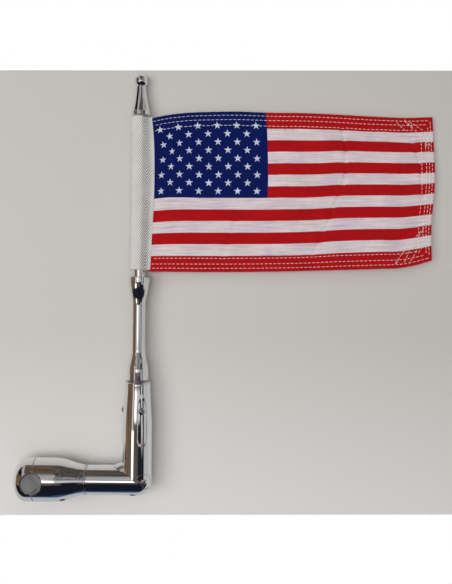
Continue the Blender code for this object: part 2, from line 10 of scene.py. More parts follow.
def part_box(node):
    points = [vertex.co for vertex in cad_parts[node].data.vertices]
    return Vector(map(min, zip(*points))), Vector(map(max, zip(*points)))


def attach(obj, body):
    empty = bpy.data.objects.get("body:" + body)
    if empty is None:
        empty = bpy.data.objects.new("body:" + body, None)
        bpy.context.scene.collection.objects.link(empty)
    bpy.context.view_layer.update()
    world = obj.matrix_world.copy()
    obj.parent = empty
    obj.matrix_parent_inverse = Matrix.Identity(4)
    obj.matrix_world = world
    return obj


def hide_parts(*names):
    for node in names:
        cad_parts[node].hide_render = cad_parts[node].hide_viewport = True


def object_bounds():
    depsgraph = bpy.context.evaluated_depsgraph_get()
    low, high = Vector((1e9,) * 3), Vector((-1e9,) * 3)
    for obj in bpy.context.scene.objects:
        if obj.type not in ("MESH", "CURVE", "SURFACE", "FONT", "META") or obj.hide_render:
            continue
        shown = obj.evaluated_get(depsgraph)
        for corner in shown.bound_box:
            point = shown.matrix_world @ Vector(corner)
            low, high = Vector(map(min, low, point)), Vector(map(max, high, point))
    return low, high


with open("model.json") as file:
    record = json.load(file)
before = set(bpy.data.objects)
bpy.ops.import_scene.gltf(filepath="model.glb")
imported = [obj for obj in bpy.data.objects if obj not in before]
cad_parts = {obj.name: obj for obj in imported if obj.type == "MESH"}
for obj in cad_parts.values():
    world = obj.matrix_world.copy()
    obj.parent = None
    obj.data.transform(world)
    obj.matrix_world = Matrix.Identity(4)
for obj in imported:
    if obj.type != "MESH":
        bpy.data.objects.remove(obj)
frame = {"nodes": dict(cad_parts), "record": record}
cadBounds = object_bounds()
mm = 0.001

# places read from the frame
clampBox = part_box("clamp_body")
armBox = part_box("elbow_arm")
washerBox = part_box("swivel_washer")
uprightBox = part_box("upright_receiver")
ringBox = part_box("seat_ring")
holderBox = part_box("pole_holder")
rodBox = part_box("pole_rod")
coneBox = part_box("finial_cone")
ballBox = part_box("finial_ball")
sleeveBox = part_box("flag_sleeve")
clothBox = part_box("flag_cloth")
joints = {joint["name"]: joint for joint in frame["record"]["behaviour"]["joints"]}
poleX = (rodBox[0][0] + rodBox[1][0]) / 2
foldPin = Vector(joints["fold"]["pos_m"])


def pick(*objs):
    bpy.ops.object.select_all(action="DESELECT")
    for obj in objs:
        obj.select_set(True)
    bpy.context.view_layer.objects.active = objs[0]


def editMode(on):
    bpy.ops.object.mode_set(mode="EDIT" if on else "OBJECT")


def faceOutward(obj):
    pick(obj)
    editMode(True)
    bpy.ops.mesh.select_all(action="SELECT")
    bpy.ops.mesh.normals_make_consistent(inside=False)
    editMode(False)


# outline holds (along the axis, radius) pairs
def lathe(name, outline, axis, center=(0, 0, 0), steps=128):
    away = {"X": Vector((0, 0, 1)), "Y": Vector((1, 0, 0)), "Z": Vector((1, 0, 0))}[axis]
    along = {"X": Vector((1, 0, 0)), "Y": Vector((0, 1, 0)), "Z": Vector((0, 0, 1))}[axis]
    places = [Vector(center) + along * far + away * radius for far, radius in outline]
    bpy.ops.mesh.primitive_plane_add(size=mm, location=(0, 0, 0))
    obj = bpy.context.object
    obj.name = obj.data.name = name
    editMode(True)
    bpy.ops.mesh.select_all(action="SELECT")
    bpy.ops.mesh.merge(type="CENTER")
    bpy.ops.mesh.select_all(action="SELECT")
    bpy.ops.transform.translate(value=places[0])
    for before, after in zip(places, places[1:]):
        bpy.ops.mesh.extrude_vertices_move(TRANSFORM_OT_translate={"value": after - before})
    bpy.ops.mesh.select_all(action="SELECT")
    bpy.ops.mesh.spin(steps=steps, angle=math.tau, center=center, axis=along)
    bpy.ops.mesh.select_all(action="SELECT")
    bpy.ops.mesh.remove_doubles(threshold=0.003 * mm)
    bpy.ops.mesh.normals_make_consistent(inside=False)
    editMode(False)
    return obj


def cylinder(name, low, high, radius, axis, center=(0, 0, 0), steps=128):
    return lathe(name, [(low, 0), (low, radius), (high, radius), (high, 0)], axis, center, steps)


def smooth(obj, degrees=35):
    pick(obj)
    bpy.ops.object.shade_smooth_by_angle(angle=math.radians(degrees))
    weighted = obj.modifiers.new("weighted", "WEIGHTED_NORMAL")
    weighted.keep_sharp = True
    weighted.weight = 90
    bpy.ops.object.modifier_apply(modifier="weighted")
    return obj


def carve(obj, tool, operation="DIFFERENCE"):
    pick(obj)
    modifier = obj.modifiers.new("carve", "BOOLEAN")
    modifier.operation = operation
    modifier.object = tool
    bpy.ops.object.modifier_apply(modifier=modifier.name)
    bpy.data.objects.remove(tool)
    return obj


def ease(share):
    return 0.5 - 0.5 * math.cos(math.pi * min(max(share, 0), 1))


# arc points as (along, radius), with angles in degrees from the along direction
def roundCorner(center, radius, start, end, steps=6):
    angles = [math.radians(start + (end - start) * step / steps) for step in range(steps + 1)]
    return [(center[0] + radius * math.cos(a), center[1] + radius * math.sin(a)) for a in angles]


# a new material with its wiring helper and its shader
def newMaterial(name, color, metallic=0.0, roughness=0.5):
    material = bpy.data.materials.new(name)
    material.use_nodes = True
    shader = material.node_tree.nodes["Principled BSDF"]
    shader.inputs["Base Color"].default_value = (*color, 1)
    shader.inputs["Metallic"].default_value = metallic
    shader.inputs["Roughness"].default_value = roughness
    return material, Nodes(material.node_tree), shader


# short hand for wiring a node tree
class Nodes:
    def __init__(self, tree):
        self.tree = tree

    def add(self, kind, **settings):
        node = self.tree.nodes.new(kind)
        for key, value in settings.items():
            setattr(node, key, value)
        return node

    def link(self, source, target):
        self.tree.links.new(source, target)

    def place(self):
        return self.add("ShaderNodeTexCoord").outputs["Object"]

    def split(self, vector):
        node = self.add("ShaderNodeSeparateXYZ")
        self.link(vector, node.inputs[0])
        return node.outputs

    def stretch(self, vector, scale):
        node = self.add("ShaderNodeMapping")
        node.inputs["Scale"].default_value = scale
        self.link(vector, node.inputs["Vector"])
        return node.outputs[0]

    # mixes two shaders into the tree's surface
    def finish(self, factor, first, second, output):
        node = self.add("ShaderNodeMixShader")
        for socket, source in zip(node.inputs, (factor, first, second)):
            self.link(source, socket)
        self.link(node.outputs[0], self.tree.nodes[output].inputs["Surface"])

    def math(self, operation, first, second=None):
        node = self.add("ShaderNodeMath", operation=operation)
        for socket, value in zip(node.inputs, (first, second)):
            if value is None:
                continue
            if isinstance(value, (int, float)):
                socket.default_value = value
            else:
                self.link(value, socket)
        return node.outputs[0]

    def plus(self, first, second):
        return self.math("ADD", first, second)

    def minus(self, first, second):
        return self.math("SUBTRACT", first, second)

    def times(self, first, second):
        return self.math("MULTIPLY", first, second)

    def mix(self, factor, first, second):
        node = self.add("ShaderNodeMix", data_type="RGBA")
        sockets = (node.inputs[0], node.inputs[6], node.inputs[7])
        for socket, value in zip(sockets, (factor, first, second)):
            if isinstance(value, (int, float)):
                socket.default_value = value
            elif isinstance(value, tuple):
                socket.default_value = (*value, 1)
            else:
                self.link(value, socket)
        return node.outputs[2]

    def noise(self, vector, scale, detail=3):
        node = self.add("ShaderNodeTexNoise")
        node.inputs["Scale"].default_value = scale
        node.inputs["Detail"].default_value = detail
        self.link(vector, node.inputs["Vector"])
        return node.outputs["Fac"]

    def spread(self, value, low, high, newLow, newHigh):
        node = self.add("ShaderNodeMapRange")
        for socket, number in zip(node.inputs[1:5], (low, high, newLow, newHigh)):
            socket.default_value = number
        self.link(value, node.inputs[0])
        return node.outputs[0]

    def bump(self, height, strength, distance):
        node = self.add("ShaderNodeBump")
        node.inputs["Strength"].default_value = strength
        node.inputs["Distance"].default_value = distance
        self.link(height, node.inputs["Height"])
        return node.outputs["Normal"]


def makeChrome():
    chrome = {"color": (0.83, 0.84, 0.86), "rough": (0.03, 0.085), "smudgeScale": 70,
              "rippleScale": 55, "waviness": 0.35, "ripple": 0.04 * mm, "edge": 0.35 * mm}
    material, nodes, shader = newMaterial("polishedChrome", chrome["color"], 1.0, 0.05)
    place = nodes.place()
    smudge = nodes.noise(place, chrome["smudgeScale"], 5)
    nodes.link(nodes.spread(smudge, 0.35, 0.7, *chrome["rough"]), shader.inputs["Roughness"])
    ripple = nodes.noise(place, chrome["rippleScale"], 1)
    wave = nodes.bump(ripple, chrome["waviness"], chrome["ripple"])
    edges = nodes.add("ShaderNodeBevel", samples=4)
    edges.inputs["Radius"].default_value = chrome["edge"]
    nodes.link(edges.outputs[0], wave.node.inputs["Normal"])
    nodes.link(wave, shader.inputs["Normal"])
    return material


def makeSteel():
    steel = {"color": (0.56, 0.57, 0.6), "grainScale": 900, "rough": (0.16, 0.34), "grain": 0.03 * mm}
    material, nodes, shader = newMaterial("brightSteel", steel["color"], 1.0, 0.22)
    grain = nodes.noise(nodes.place(), steel["grainScale"], 4)
    nodes.link(nodes.spread(grain, 0.3, 0.7, *steel["rough"]), shader.inputs["Roughness"])
    nodes.link(nodes.bump(grain, 0.2, steel["grain"]), shader.inputs["Normal"])
    return material


chromeFinish = makeChrome()
steelFinish = makeSteel()


def finishPiece(obj, material, body, replaced=()):
    obj.data.materials.clear()
    obj.data.materials.append(material)
    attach(obj, body)
    if replaced:
        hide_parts(*replaced)
    return obj


def makeCamera():
    view = {"place": (177.0, -707.3, 173.5), "turn": (0.56, -0.60, -0.19), "lens": 45.6}
    data = bpy.data.cameras.new("camera")
    data.lens = view["lens"]
    data.clip_start = 0.01
    camera = bpy.data.objects.new("camera", data)
    bpy.context.collection.objects.link(camera)
    turn = Vector([math.radians(angle) for angle in view["turn"]])
    lean = Matrix.Rotation(turn.length, 4, turn.normalized())
    place = Matrix.Translation(Vector(view["place"]) * mm)
    camera.matrix_world = place @ lean @ Matrix.Rotation(math.pi / 2, 4, "X")
    bpy.context.scene.camera = camera


def makeBoard():
    # a pale table top close behind the object, clear from its back
    board = {"foot": -38.5 * mm, "top": 395.5 * mm, "middle": 180 * mm, "half": 700 * mm,
             "nearClamp": 21.1 * mm, "lean": -1.85, "roll": 0.6, "paint": (0.478, 0.467, 0.448),
             "paintedLightLow": (0.6, 0.594, 0.584), "paintedLightSpan": (0.14, -0.03), "grainScale": 900, "grain": 0.1 * mm}
    bpy.ops.mesh.primitive_plane_add(size=1, location=(0, 0, 0))
    obj = bpy.context.object
    obj.name = "tableTop"
    slope = math.tan(math.radians(board["lean"]))
    roll = math.tan(math.radians(board["roll"]))
    for vert in obj.data.vertices:
        side = board["half"] * (1 if vert.co.x > 0 else -1)
        height = board["top"] if vert.co.y > 0 else board["foot"]
        height += roll * side
        vert.co = Vector((board["middle"] + side, board["nearClamp"] + slope * height, height))
    material, nodes, shader = newMaterial("tablePaint", board["paint"], 0.0, 0.5)
    place = nodes.place()
    grain = nodes.noise(place, board["grainScale"], 3)
    nodes.link(nodes.bump(grain, 0.15, board["grain"]), shader.inputs["Normal"])
    # painted light: the table's colour grows lighter towards its lower edge, standing in for light falling
    # from below
    low = nodes.spread(nodes.split(place)[2], *board["paintedLightSpan"], 0, 1)
    nodes.link(nodes.mix(low, board["paint"], board["paintedLightLow"]), shader.inputs["Base Color"])
    back = nodes.add("ShaderNodeNewGeometry").outputs["Backfacing"]
    clear = nodes.add("ShaderNodeBsdfTransparent").outputs[0]
    nodes.finish(back, shader.outputs[0], clear, "Material Output")
    obj.data.materials.append(material)
    if obj.data.polygons[0].normal.y > 0:
        obj.data.flip_normals()
    obj.visible_shadow = False


def makeRoom():
    # what the chrome mirrors, by direction: a warm wall on the left and overhead, a bright window left of
    # the viewer with paler panes round it, darkness to the right and below, a cool line at the lower edge
    room = {"warm": (0.155, 0.1, 0.06), "dull": (0.09, 0.075, 0.065), "dark": (0.01, 0.011, 0.018),
            "cool": (0.035, 0.1, 0.24), "window": (1.9, 1.85, 1.8), "haze": (0.4, 0.39, 0.38),
            "dusk": (0.21, 0.2, 0.195), "pane": (0.62, 0.6, 0.58), "behind": (0.5, 0.5, 0.5)}
    world = bpy.data.worlds.new("room")
    bpy.context.scene.world = world
    world.use_nodes = True
    nodes = Nodes(world.node_tree)
    direction = nodes.add("ShaderNodeTexCoord").outputs["Generated"]
    across, depth, up = nodes.split(direction)
    wobble = nodes.times(nodes.minus(nodes.noise(direction, 7, 2), 0.5), 0.08)
    across = nodes.plus(across, wobble)

    def between(value, low, high, soft):
        rise = nodes.spread(value, low - soft, low, 0, 1)
        return nodes.times(rise, nodes.spread(value, high, high + soft, 1, 0))

    # paints a soft-edged patch between two limits across and two limits up
    def patch(base, sides, heights, color, soft=0.05):
        inside = nodes.times(between(across, *sides, soft), between(up, *heights, soft))
        return nodes.mix(inside, base, room[color])

    base = nodes.mix(nodes.spread(across, -0.3, -0.15, 0, 1), room["warm"], room["dull"])
    base = patch(base, (-0.3, -0.08), (0.1, 0.55), "haze", 0.1)
    base = patch(base, (0.3, 1), (-0.3, 0.12), "dark", 0.06)
    base = patch(base, (-0.56, -0.34), (0.4, 1), "haze")
    base = patch(base, (-1, -0.66), (0.4, 1), "dark")
    base = patch(base, (0.52, 1), (0.4, 1), "haze")
    base = patch(base, (0.0, 0.46), (0.08, 0.42), "dusk", 0.09)
    uneven = nodes.spread(nodes.noise(nodes.stretch(direction, (6, 2, 5)), 1.6, 4), 0.3, 0.7, 0.5, 1.5)
    rough = nodes.add("ShaderNodeVectorMath", operation="SCALE")
    nodes.link(base, rough.inputs[0])
    nodes.link(uneven, rough.inputs["Scale"])
    base = rough.outputs[0]
    base = patch(base, (0.6, 0.72), (-0.18, 0.1), "pane", 0.03)
    base = patch(base, (0.88, 1), (-0.4, 1), "behind")
    base = nodes.mix(nodes.spread(up, -0.27, -0.33, 0, 1), base, room["dark"])
    base = nodes.mix(nodes.spread(up, -0.955, -0.985, 0, 1), base, room["cool"])
    base = patch(base, (-0.58, -0.44), (-0.135, 0.3), "pane", 0.03)
    base = patch(base, (-0.58, -0.37), (-0.3, -0.175), "window", 0.03)
    base = patch(base, (0.0, 0.42), (-0.05, 0.1), "pane", 0.06)
    base = patch(base, (-0.27, -0.07), (-0.05, 0.08), "window", 0.05)
    base = nodes.mix(nodes.spread(depth, 0.0, 0.06, 0, 1), base, room["behind"])
    mirrored = world.node_tree.nodes["Background"]
    nodes.link(base, mirrored.inputs["Color"])
    plain = nodes.add("ShaderNodeBackground")
    plain.inputs["Color"].default_value = (1, 1, 1, 1)
    seen = nodes.add("ShaderNodeLightPath").outputs["Is Camera Ray"]
    nodes.finish(seen, mirrored.outputs[0], plain.outputs[0], "World Output")


def makeLight(name, place, target, size, power, color):
    data = bpy.data.lights.new(name, "AREA")
    data.shape = "RECTANGLE"
    data.size, data.size_y = size
    data.energy = power
    data.color = color
    light = bpy.data.objects.new(name, data)
    bpy.context.collection.objects.link(light)
    light.location = place
    light.rotation_euler = (Vector(target) - Vector(place)).to_track_quat("-Z", "Y").to_euler()
    light.visible_glossy = False


def makeStage():
    makeCamera()
    makeBoard()
    makeRoom()
    middle = (0.15, 0, 0.17)
    warmWhite, coolWhite = (1, 0.99, 0.97), (0.97, 0.99, 1)
    makeLight("leftLamp", (-0.85, -1.5, 0.1), middle, (1.0, 1.0), 14.5, warmWhite)
    makeLight("frontGlow", (0.02, -1.7, 0.06), (0.02, 0, 0.1), (0.8, 0.8), 10.5, (1, 1, 1))
    makeLight("ceilingGlow", (0.5, -1.9, 1.7), middle, (1.8, 1.4), 9, (1, 0.98, 0.95))
    makeLight("floorGlow", (0.05, -1.5, -1.1), (0.08, 0, 0), (2.2, 1.4), 8, coolWhite)
    makeLight("backLamp", (0.9, 1.6, 0.7), middle, (1.2, 1.2), 22, warmWhite)
    bpy.context.scene.view_settings.view_transform = "Standard"
    print("stage ready")


makeStage()

clamp = {"radius": clampBox[1][2], "end": -cadBounds[0][0], "endRound": 13 * mm, "split": 0.25 * mm,
         "bar": 9.525 * mm, "rim": 0.85 * mm, "taperStart": 19 * mm, "taperRun": 31 * mm, "edge": 0.35 * mm,
         "screwRise": 14.5 * mm, "counterbore": 4.55 * mm, "shankHole": 2.8 * mm, "seat": 8.8 * mm,
         "threadHole": 2.65 * mm, "threadDepth": 13.6 * mm, "spigotHole": 8.15 * mm, "spigotFoot": 17.2 * mm,
         "setScrewX": 27.6 * mm, "setScrewHole": (7 * mm, 24 * mm)}
tubeRadius = armBox[1][1]


def clampRadius(x):
    share = ease((x - clamp["taperStart"]) / clamp["taperRun"])
    return clamp["radius"] + (tubeRadius - clamp["radius"]) * share


# outer radius of the whole clamp at x, with its rounded end
def capRadius(x):
    start = -clamp["end"] + clamp["endRound"]
    if x >= 0:
        return clampRadius(x)
    if x >= start:
        return clamp["radius"]
    depth = min(start - x, clamp["endRound"])
    return clamp["radius"] - clamp["endRound"] + math.sqrt(clamp["endRound"] ** 2 - depth ** 2)


# chamfer tool that follows the edge where the bar's bore meets the round clamp
def rimRing(name, side, steps=160):
    rim, bar = clamp["rim"], clamp["bar"]
    bm = bmesh.new()
    rings = []
    for step in range(steps):
        turn = math.tau * step / steps
        loop = []
        for spread, sink in ((0, rim), (rim, 0), (rim, -3 * rim), (-rim, -3 * rim), (-rim, rim)):
            radius = bar + spread
            x, z = radius * math.cos(turn), radius * math.sin(turn)
            outer = capRadius(bar * math.cos(turn)) if spread <= 0 else capRadius(x)
            reach = math.sqrt(max(outer ** 2 - z ** 2, 0)) - sink
            loop.append(bm.verts.new((x, side * reach, z)))
        rings.append(loop)
    for ring, after in zip(rings, rings[1:] + rings[:1]):
        for k in range(len(ring)):
            bm.faces.new((ring[k], ring[(k + 1) % len(ring)], after[(k + 1) % len(ring)], after[k]))
    bmesh.ops.recalc_face_normals(bm, faces=bm.faces)
    mesh = bpy.data.meshes.new(name)
    bm.to_mesh(mesh)
    bm.free()
    obj = bpy.data.objects.new(name, mesh)
    bpy.context.collection.objects.link(obj)
    return obj


def boreClamp(obj):
    reach = clamp["radius"] * 1.3
    carve(obj, cylinder("barTool", -reach, reach, clamp["bar"], "Y"))
    for side in (-1, 1):
        carve(obj, rimRing("rimTool", side))
    return obj


def drill(obj, rise, radius, start, end):
    return carve(obj, cylinder("drillTool", start, end, radius, "X", (0, 0, rise), 48))


def makeClampCap():
    radius, edge = clamp["radius"], clamp["edge"]
    face = -clamp["split"]
    flat = radius - clamp["endRound"]
    outline = [(-clamp["end"], 0)]
    outline += roundCorner((-clamp["end"] + clamp["endRound"], flat), clamp["endRound"], 180, 90, 28)
    outline += roundCorner((face - edge, radius - edge), edge, 90, 0, 4) + [(face, 0)]
    cap = boreClamp(lathe("clampCapShell", outline, "X"))
    for side in (-1, 1):
        rise = side * clamp["screwRise"]
        drill(cap, rise, clamp["shankHole"], -clamp["seat"] - mm, mm)
        drill(cap, rise, clamp["counterbore"], -clamp["end"] - mm, -clamp["seat"])
    return finishPiece(smooth(cap), chromeFinish, "cap", ["clamp_cap"])


def makeClampBody():
    radius, edge = clamp["radius"], clamp["edge"]
    face, end = clamp["split"], clampBox[1][0]
    outline = [(face, 0)] + roundCorner((face + edge, radius - edge), edge, 180, 90, 4)
    for x in np.linspace(clamp["taperStart"], end - edge, 31):
        outline.append((x, clampRadius(x)))
    outline += roundCorner((end - edge, clampRadius(end) - edge), edge, 80, 0, 4) + [(end, 0)]
    body = boreClamp(lathe("clampBodyShell", outline, "X"))
    for side in (-1, 1):
        drill(body, side * clamp["screwRise"], clamp["threadHole"], -mm, clamp["threadDepth"])
    drill(body, 0, clamp["spigotHole"], clamp["spigotFoot"], end + mm)
    carve(body, screwHole("setScrewTool", clamp["setScrewX"], *clamp["setScrewHole"]))
    return finishPiece(smooth(body), chromeFinish, "clamp", ["clamp_body"])


def setScrewPlace(x):
    lean = math.radians(30)
    return Matrix.Translation((x, 0, 0)) @ Matrix.Rotation(math.pi - lean, 4, "X")


def screwHole(name, x, start, end):
    tool = cylinder(name, start, end, clamp["threadHole"], "Z", steps=48)
    tool.data.transform(setScrewPlace(x))
    return tool


makeClampCap()
makeClampBody()
print("clamp ready")

elbow = {"edge": 0.35 * mm, "gap": 0.3 * mm, "seatAngle": 24, "knuckle": 7.1 * mm, "tongue": 11.5 * mm,
         "tongueHalf": 6 * mm, "pinHole": 2.55 * mm, "slim": 0.1 * mm, "knuckleInset": 0.12 * mm,
         "tongueInset": 0.2 * mm, "webFrom": (-18, 0.6), "webTo": (-4.6, 7.2), "webInset": 0.6 * mm,
         "webSquash": 0.84, "spigotEnd": 68.3 * mm, "lockScrewX": 93 * mm, "lockScrewHole": (6 * mm, 22 * mm)}
receiver = {"top": uprightBox[1][2], "topRadius": 11.7 * mm, "taperStart": 48 * mm, "lip": 1.4 * mm,
            "flatDepth": 12.4 * mm, "flatHalf": 4.3 * mm, "flatFoot": 35.3 * mm, "flatTop": 86 * mm,
            "screwRise": 67.4 * mm, "socket": 8.05 * mm, "socketFoot": 61.9 * mm, "screwHole": 2.15 * mm,
            "holeFoot": 7 * mm, "angles": {"front": 25, "rear": 145, "left": -95}}


def elbowEnvelope(name, inset=0.0, uprightOutline=None):
    radius = tubeRadius - inset
    start = washerBox[1][0] + elbow["gap"]
    edge = elbow["edge"]
    bend = [(poleX + along, away) for along, away in roundCorner((0, 0), radius, 90, 0, 32)]
    straight = [(start + edge + (poleX - start - edge) * step / 14, radius) for step in range(14)]
    shell = lathe(name, [(start, 0), (start, radius - edge)] + straight + bend, "X")
    slim = radius - elbow["slim"]
    bend = roundCorner((0, 0), slim, 180, 90, 32)
    stub = 4.4 * radius
    outline = bend + (uprightOutline or [(stub, slim), (stub, 0)])
    carve(shell, lathe("uprightTool", outline, "Z", (poleX, 0, 0)), "UNION")
    first = Vector((poleX + elbow["webFrom"][0] * mm, 0, elbow["webFrom"][1] * mm))
    last = Vector((poleX + elbow["webTo"][0] * mm, 0, elbow["webTo"][1] * mm))
    web = cylinder("webTool", 0, (last - first).length, radius - elbow["webInset"], "Z")
    web.data.transform(Matrix.Diagonal((1, elbow["webSquash"], 1, 1)))
    turn = (last - first).to_track_quat("Z", "X").to_matrix().to_4x4()
    web.data.transform(Matrix.Translation(first) @ turn)
    return carve(shell, web, "UNION")


def boxTool(name, low, high):
    bpy.ops.mesh.primitive_cube_add(size=1)
    obj = bpy.context.object
    obj.name = name
    low, high = Vector(low), Vector(high)
    obj.data.transform(Matrix.Translation((low + high) / 2) @ Matrix.Diagonal((*(high - low), 1)))
    return obj


# half space above or below the sloping seat of the fold
def seatTool(above):
    reach = 130 * mm
    half = elbow["gap"] / 2
    low, high = (half, reach) if above else (-reach, -half)
    tool = boxTool("seatTool", (-reach, -reach, low), (reach, reach, high))
    slope = Matrix.Rotation(math.radians(elbow["seatAngle"]), 4, "Y")
    tool.data.transform(Matrix.Translation(foldPin) @ slope)
    return tool


def pinDisc(radius, low, high, steps=96):
    return cylinder("discTool", low, high, radius, "Y", foldPin, steps)


def makeElbowArm():
    reach = 2 * tubeRadius
    slot = elbow["tongueHalf"] + elbow["gap"]
    arm = carve(elbowEnvelope("elbowArmShell"), seatTool(False), "INTERSECT")
    ledge = foldPin.z - elbow["knuckle"] - elbow["gap"]
    carve(arm, boxTool("ledgeTool", (foldPin.x, -reach, ledge), (foldPin.x + reach, reach, reach)))
    limit = elbowEnvelope("limitTool", elbow["knuckleInset"])
    carve(arm, carve(pinDisc(elbow["knuckle"], -reach, reach), limit, "INTERSECT"), "UNION")
    carve(arm, pinDisc(elbow["tongue"] + elbow["gap"], -slot, slot))
    carve(arm, boxTool("slotTool", (foldPin.x + mm, -slot, -reach), (foldPin.x + reach, slot, reach)))
    carve(arm, pinDisc(elbow["pinHole"], -reach, reach, 48))
    carve(arm, cylinder("spigotTool", armBox[0][0] - mm, elbow["spigotEnd"], clamp["spigotHole"], "X"))
    carve(arm, screwHole("lockTool", elbow["lockScrewX"], *elbow["lockScrewHole"]))
    return finishPiece(smooth(arm), chromeFinish, "arm", ["elbow_arm"])


# local +Z points out of the pole at the screws' height, with the angle counted from -Y towards +X
def screwFrame(angle):
    turn = math.radians(angle)
    outward = Vector((math.sin(turn), -math.cos(turn), 0))
    place = Vector((poleX, 0, receiver["screwRise"]))
    return Matrix.Translation(place) @ outward.to_track_quat("Z", "Y").to_matrix().to_4x4()


# milled flat: a slab outside the flat's plane, with a round lower end
def flatTool(angle):
    half, rise = receiver["flatHalf"], receiver["screwRise"]
    foot = receiver["flatFoot"] - rise + half
    low, high = receiver["flatDepth"], receiver["flatDepth"] + tubeRadius
    tool = cylinder("flatTool", low, high, half, "Z", (0, foot, 0), 64)
    carve(tool, boxTool("slabTool", (-half, foot, low), (half, receiver["flatTop"] - rise, high)), "UNION")
    tool.data.transform(screwFrame(angle))
    return tool


def makeUprightReceiver():
    reach = 2 * tubeRadius
    top, lip = receiver["top"], receiver["lip"]
    start, end = receiver["taperStart"], top - lip
    low = tubeRadius - elbow["slim"]
    high = receiver["topRadius"] + lip / 3
    outline = [(start * step / 14, low) for step in range(1, 14)]
    for share in np.linspace(0, 1, 25):
        outline.append((start + (end - start) * share, low + (high - low) * ease(share)))
    outline += [(top - lip / 2, receiver["topRadius"]), (top, receiver["topRadius"] - lip / 2), (top, 0)]
    upright = carve(elbowEnvelope("uprightShell", 0, outline), seatTool(True), "INTERSECT")
    carve(upright, boxTool("cornerTool", (foldPin.x, -reach, -reach), (foldPin.x + reach, reach, foldPin.z)))
    limit = elbowEnvelope("limitTool", elbow["tongueInset"])
    tongue = pinDisc(elbow["tongue"], -elbow["tongueHalf"], elbow["tongueHalf"])
    carve(upright, carve(tongue, limit, "INTERSECT"), "UNION")
    near = elbow["tongueHalf"] + elbow["gap"] / 3
    for low, high in ((near, reach), (-reach, -near)):
        carve(upright, pinDisc(elbow["knuckle"] + elbow["gap"], low, high))
    carve(upright, pinDisc(elbow["pinHole"], -reach, reach, 48))
    foot = receiver["socketFoot"]
    carve(upright, cylinder("socketTool", foot, top + mm, receiver["socket"], "Z", (poleX, 0, 0)))
    for angle in receiver["angles"].values():
        carve(upright, flatTool(angle))
        hole = cylinder("holeTool", receiver["holeFoot"], tubeRadius, receiver["screwHole"], "Z", steps=40)
        hole.data.transform(screwFrame(angle))
        carve(upright, hole)
    return finishPiece(smooth(upright), chromeFinish, "upright", ["upright_receiver"])


makeElbowArm()
makeUprightReceiver()
print("elbow ready")

screws = {"capHead": 4.25 * mm, "capShank": 2.5 * mm, "capBack": -14.1 * mm, "capSeat": -9.1 * mm,
          "capTip": 13 * mm, "capHex": 4 * mm, "capHexDepth": 2.5 * mm, "capRim": 3.1 * mm, "edge": 0.45 * mm,
          "setRadius": 2.5 * mm, "setCone": 1.2 * mm, "setHex": 2.5 * mm, "setHexDepth": 2 * mm,
          "buttonHead": 3.4 * mm, "buttonRise": 2.4 * mm, "buttonHex": 2.5 * mm, "buttonHexDepth": 1.5 * mm,
          "buttonRim": 1.6 * mm, "buttonSide": 0.6 * mm, "buttonTip": 8.2 * mm, "buttonShank": 2 * mm,
          "pinRadius": 2.4 * mm}


# hexagonal socket cutter from the given depth up past the head
def hexTool(acrossFlats, low, high, matrix):
    radius = acrossFlats / math.sqrt(3)
    outline = [(low - 0.25 * radius, 0), (low, radius), (high, radius), (high, 0)]
    tool = lathe("hexTool", outline, "Z", steps=6)
    tool.data.transform(matrix)
    return tool


def makeCapScrew(word, side):
    head, shank, edge = screws["capHead"], screws["capShank"], screws["edge"]
    back, seat, tip = screws["capBack"], screws["capSeat"], screws["capTip"]
    center = (0, 0, side * clamp["screwRise"])
    outline = [(back, 0), (back, screws["capRim"])]
    outline += roundCorner((back + edge, head - edge), edge, 180, 90, 4)
    outline += [(seat - 0.2 * mm, head), (seat, head - 0.2 * mm), (seat, shank), (tip - edge, shank),
                (tip, shank - edge), (tip, 0)]
    screw = lathe("capScrew" + word.title(), outline, "X", center, 64)
    turn = Matrix.Translation((back, 0, center[2])) @ Matrix.Rotation(-math.pi / 2, 4, "Y")
    carve(screw, hexTool(screws["capHex"], -screws["capHexDepth"], mm, turn))
    finishPiece(smooth(screw), steelFinish, "cap", ["cap_screw_" + word])


def makeSetScrew(name, node, body, x, tip, length):
    radius, cone, edge = screws["setRadius"], screws["setCone"], elbow["edge"]
    top = tip + length
    outline = [(tip, 0), (tip, radius - cone), (tip + cone, radius), (top - edge, radius),
               (top, radius - edge), (top, 0)]
    screw = lathe(name, outline, "Z", steps=48)
    screw.data.transform(setScrewPlace(x))
    carve(screw, hexTool(screws["setHex"], top - screws["setHexDepth"], top + mm, setScrewPlace(x)))
    finishPiece(smooth(screw), steelFinish, body, [node])


def makeReceiverScrew(word, angle):
    head, rise, shank = screws["buttonHead"], screws["buttonRise"], screws["buttonShank"]
    seat, side = receiver["flatDepth"] + elbow["gap"], screws["buttonSide"]
    tip, edge = screws["buttonTip"], 0.4 * mm
    outline = [(tip, 0), (tip, shank - edge), (tip + edge, shank), (seat, shank), (seat, head)]
    for step in range(11):
        turn = math.radians(6 * step)
        outline.append((seat + side + (rise - side) * math.sin(turn), head * math.cos(turn)))
    outline += [(seat + rise, screws["buttonRim"]), (seat + rise, 0)]
    screw = lathe("receiverScrew" + word.title(), outline, "Z", steps=64)
    screw.data.transform(screwFrame(angle))
    top = seat + rise
    carve(screw, hexTool(screws["buttonHex"], top - screws["buttonHexDepth"], top + mm, screwFrame(angle)))
    finishPiece(smooth(screw), steelFinish, "upright", ["receiver_screw_" + word])


def makeHingePin():
    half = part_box("hinge_pin")[1][1]
    radius, edge = screws["pinRadius"], 0.4 * mm
    outline = [(-half, 0)] + roundCorner((-half + edge, radius - edge), edge, 180, 90, 4)
    outline += roundCorner((half - edge, radius - edge), edge, 90, 0, 4) + [(half, 0)]
    pin = lathe("hingePin", outline, "Y", foldPin, 64)
    finishPiece(smooth(pin), steelFinish, "arm", ["hinge_pin"])


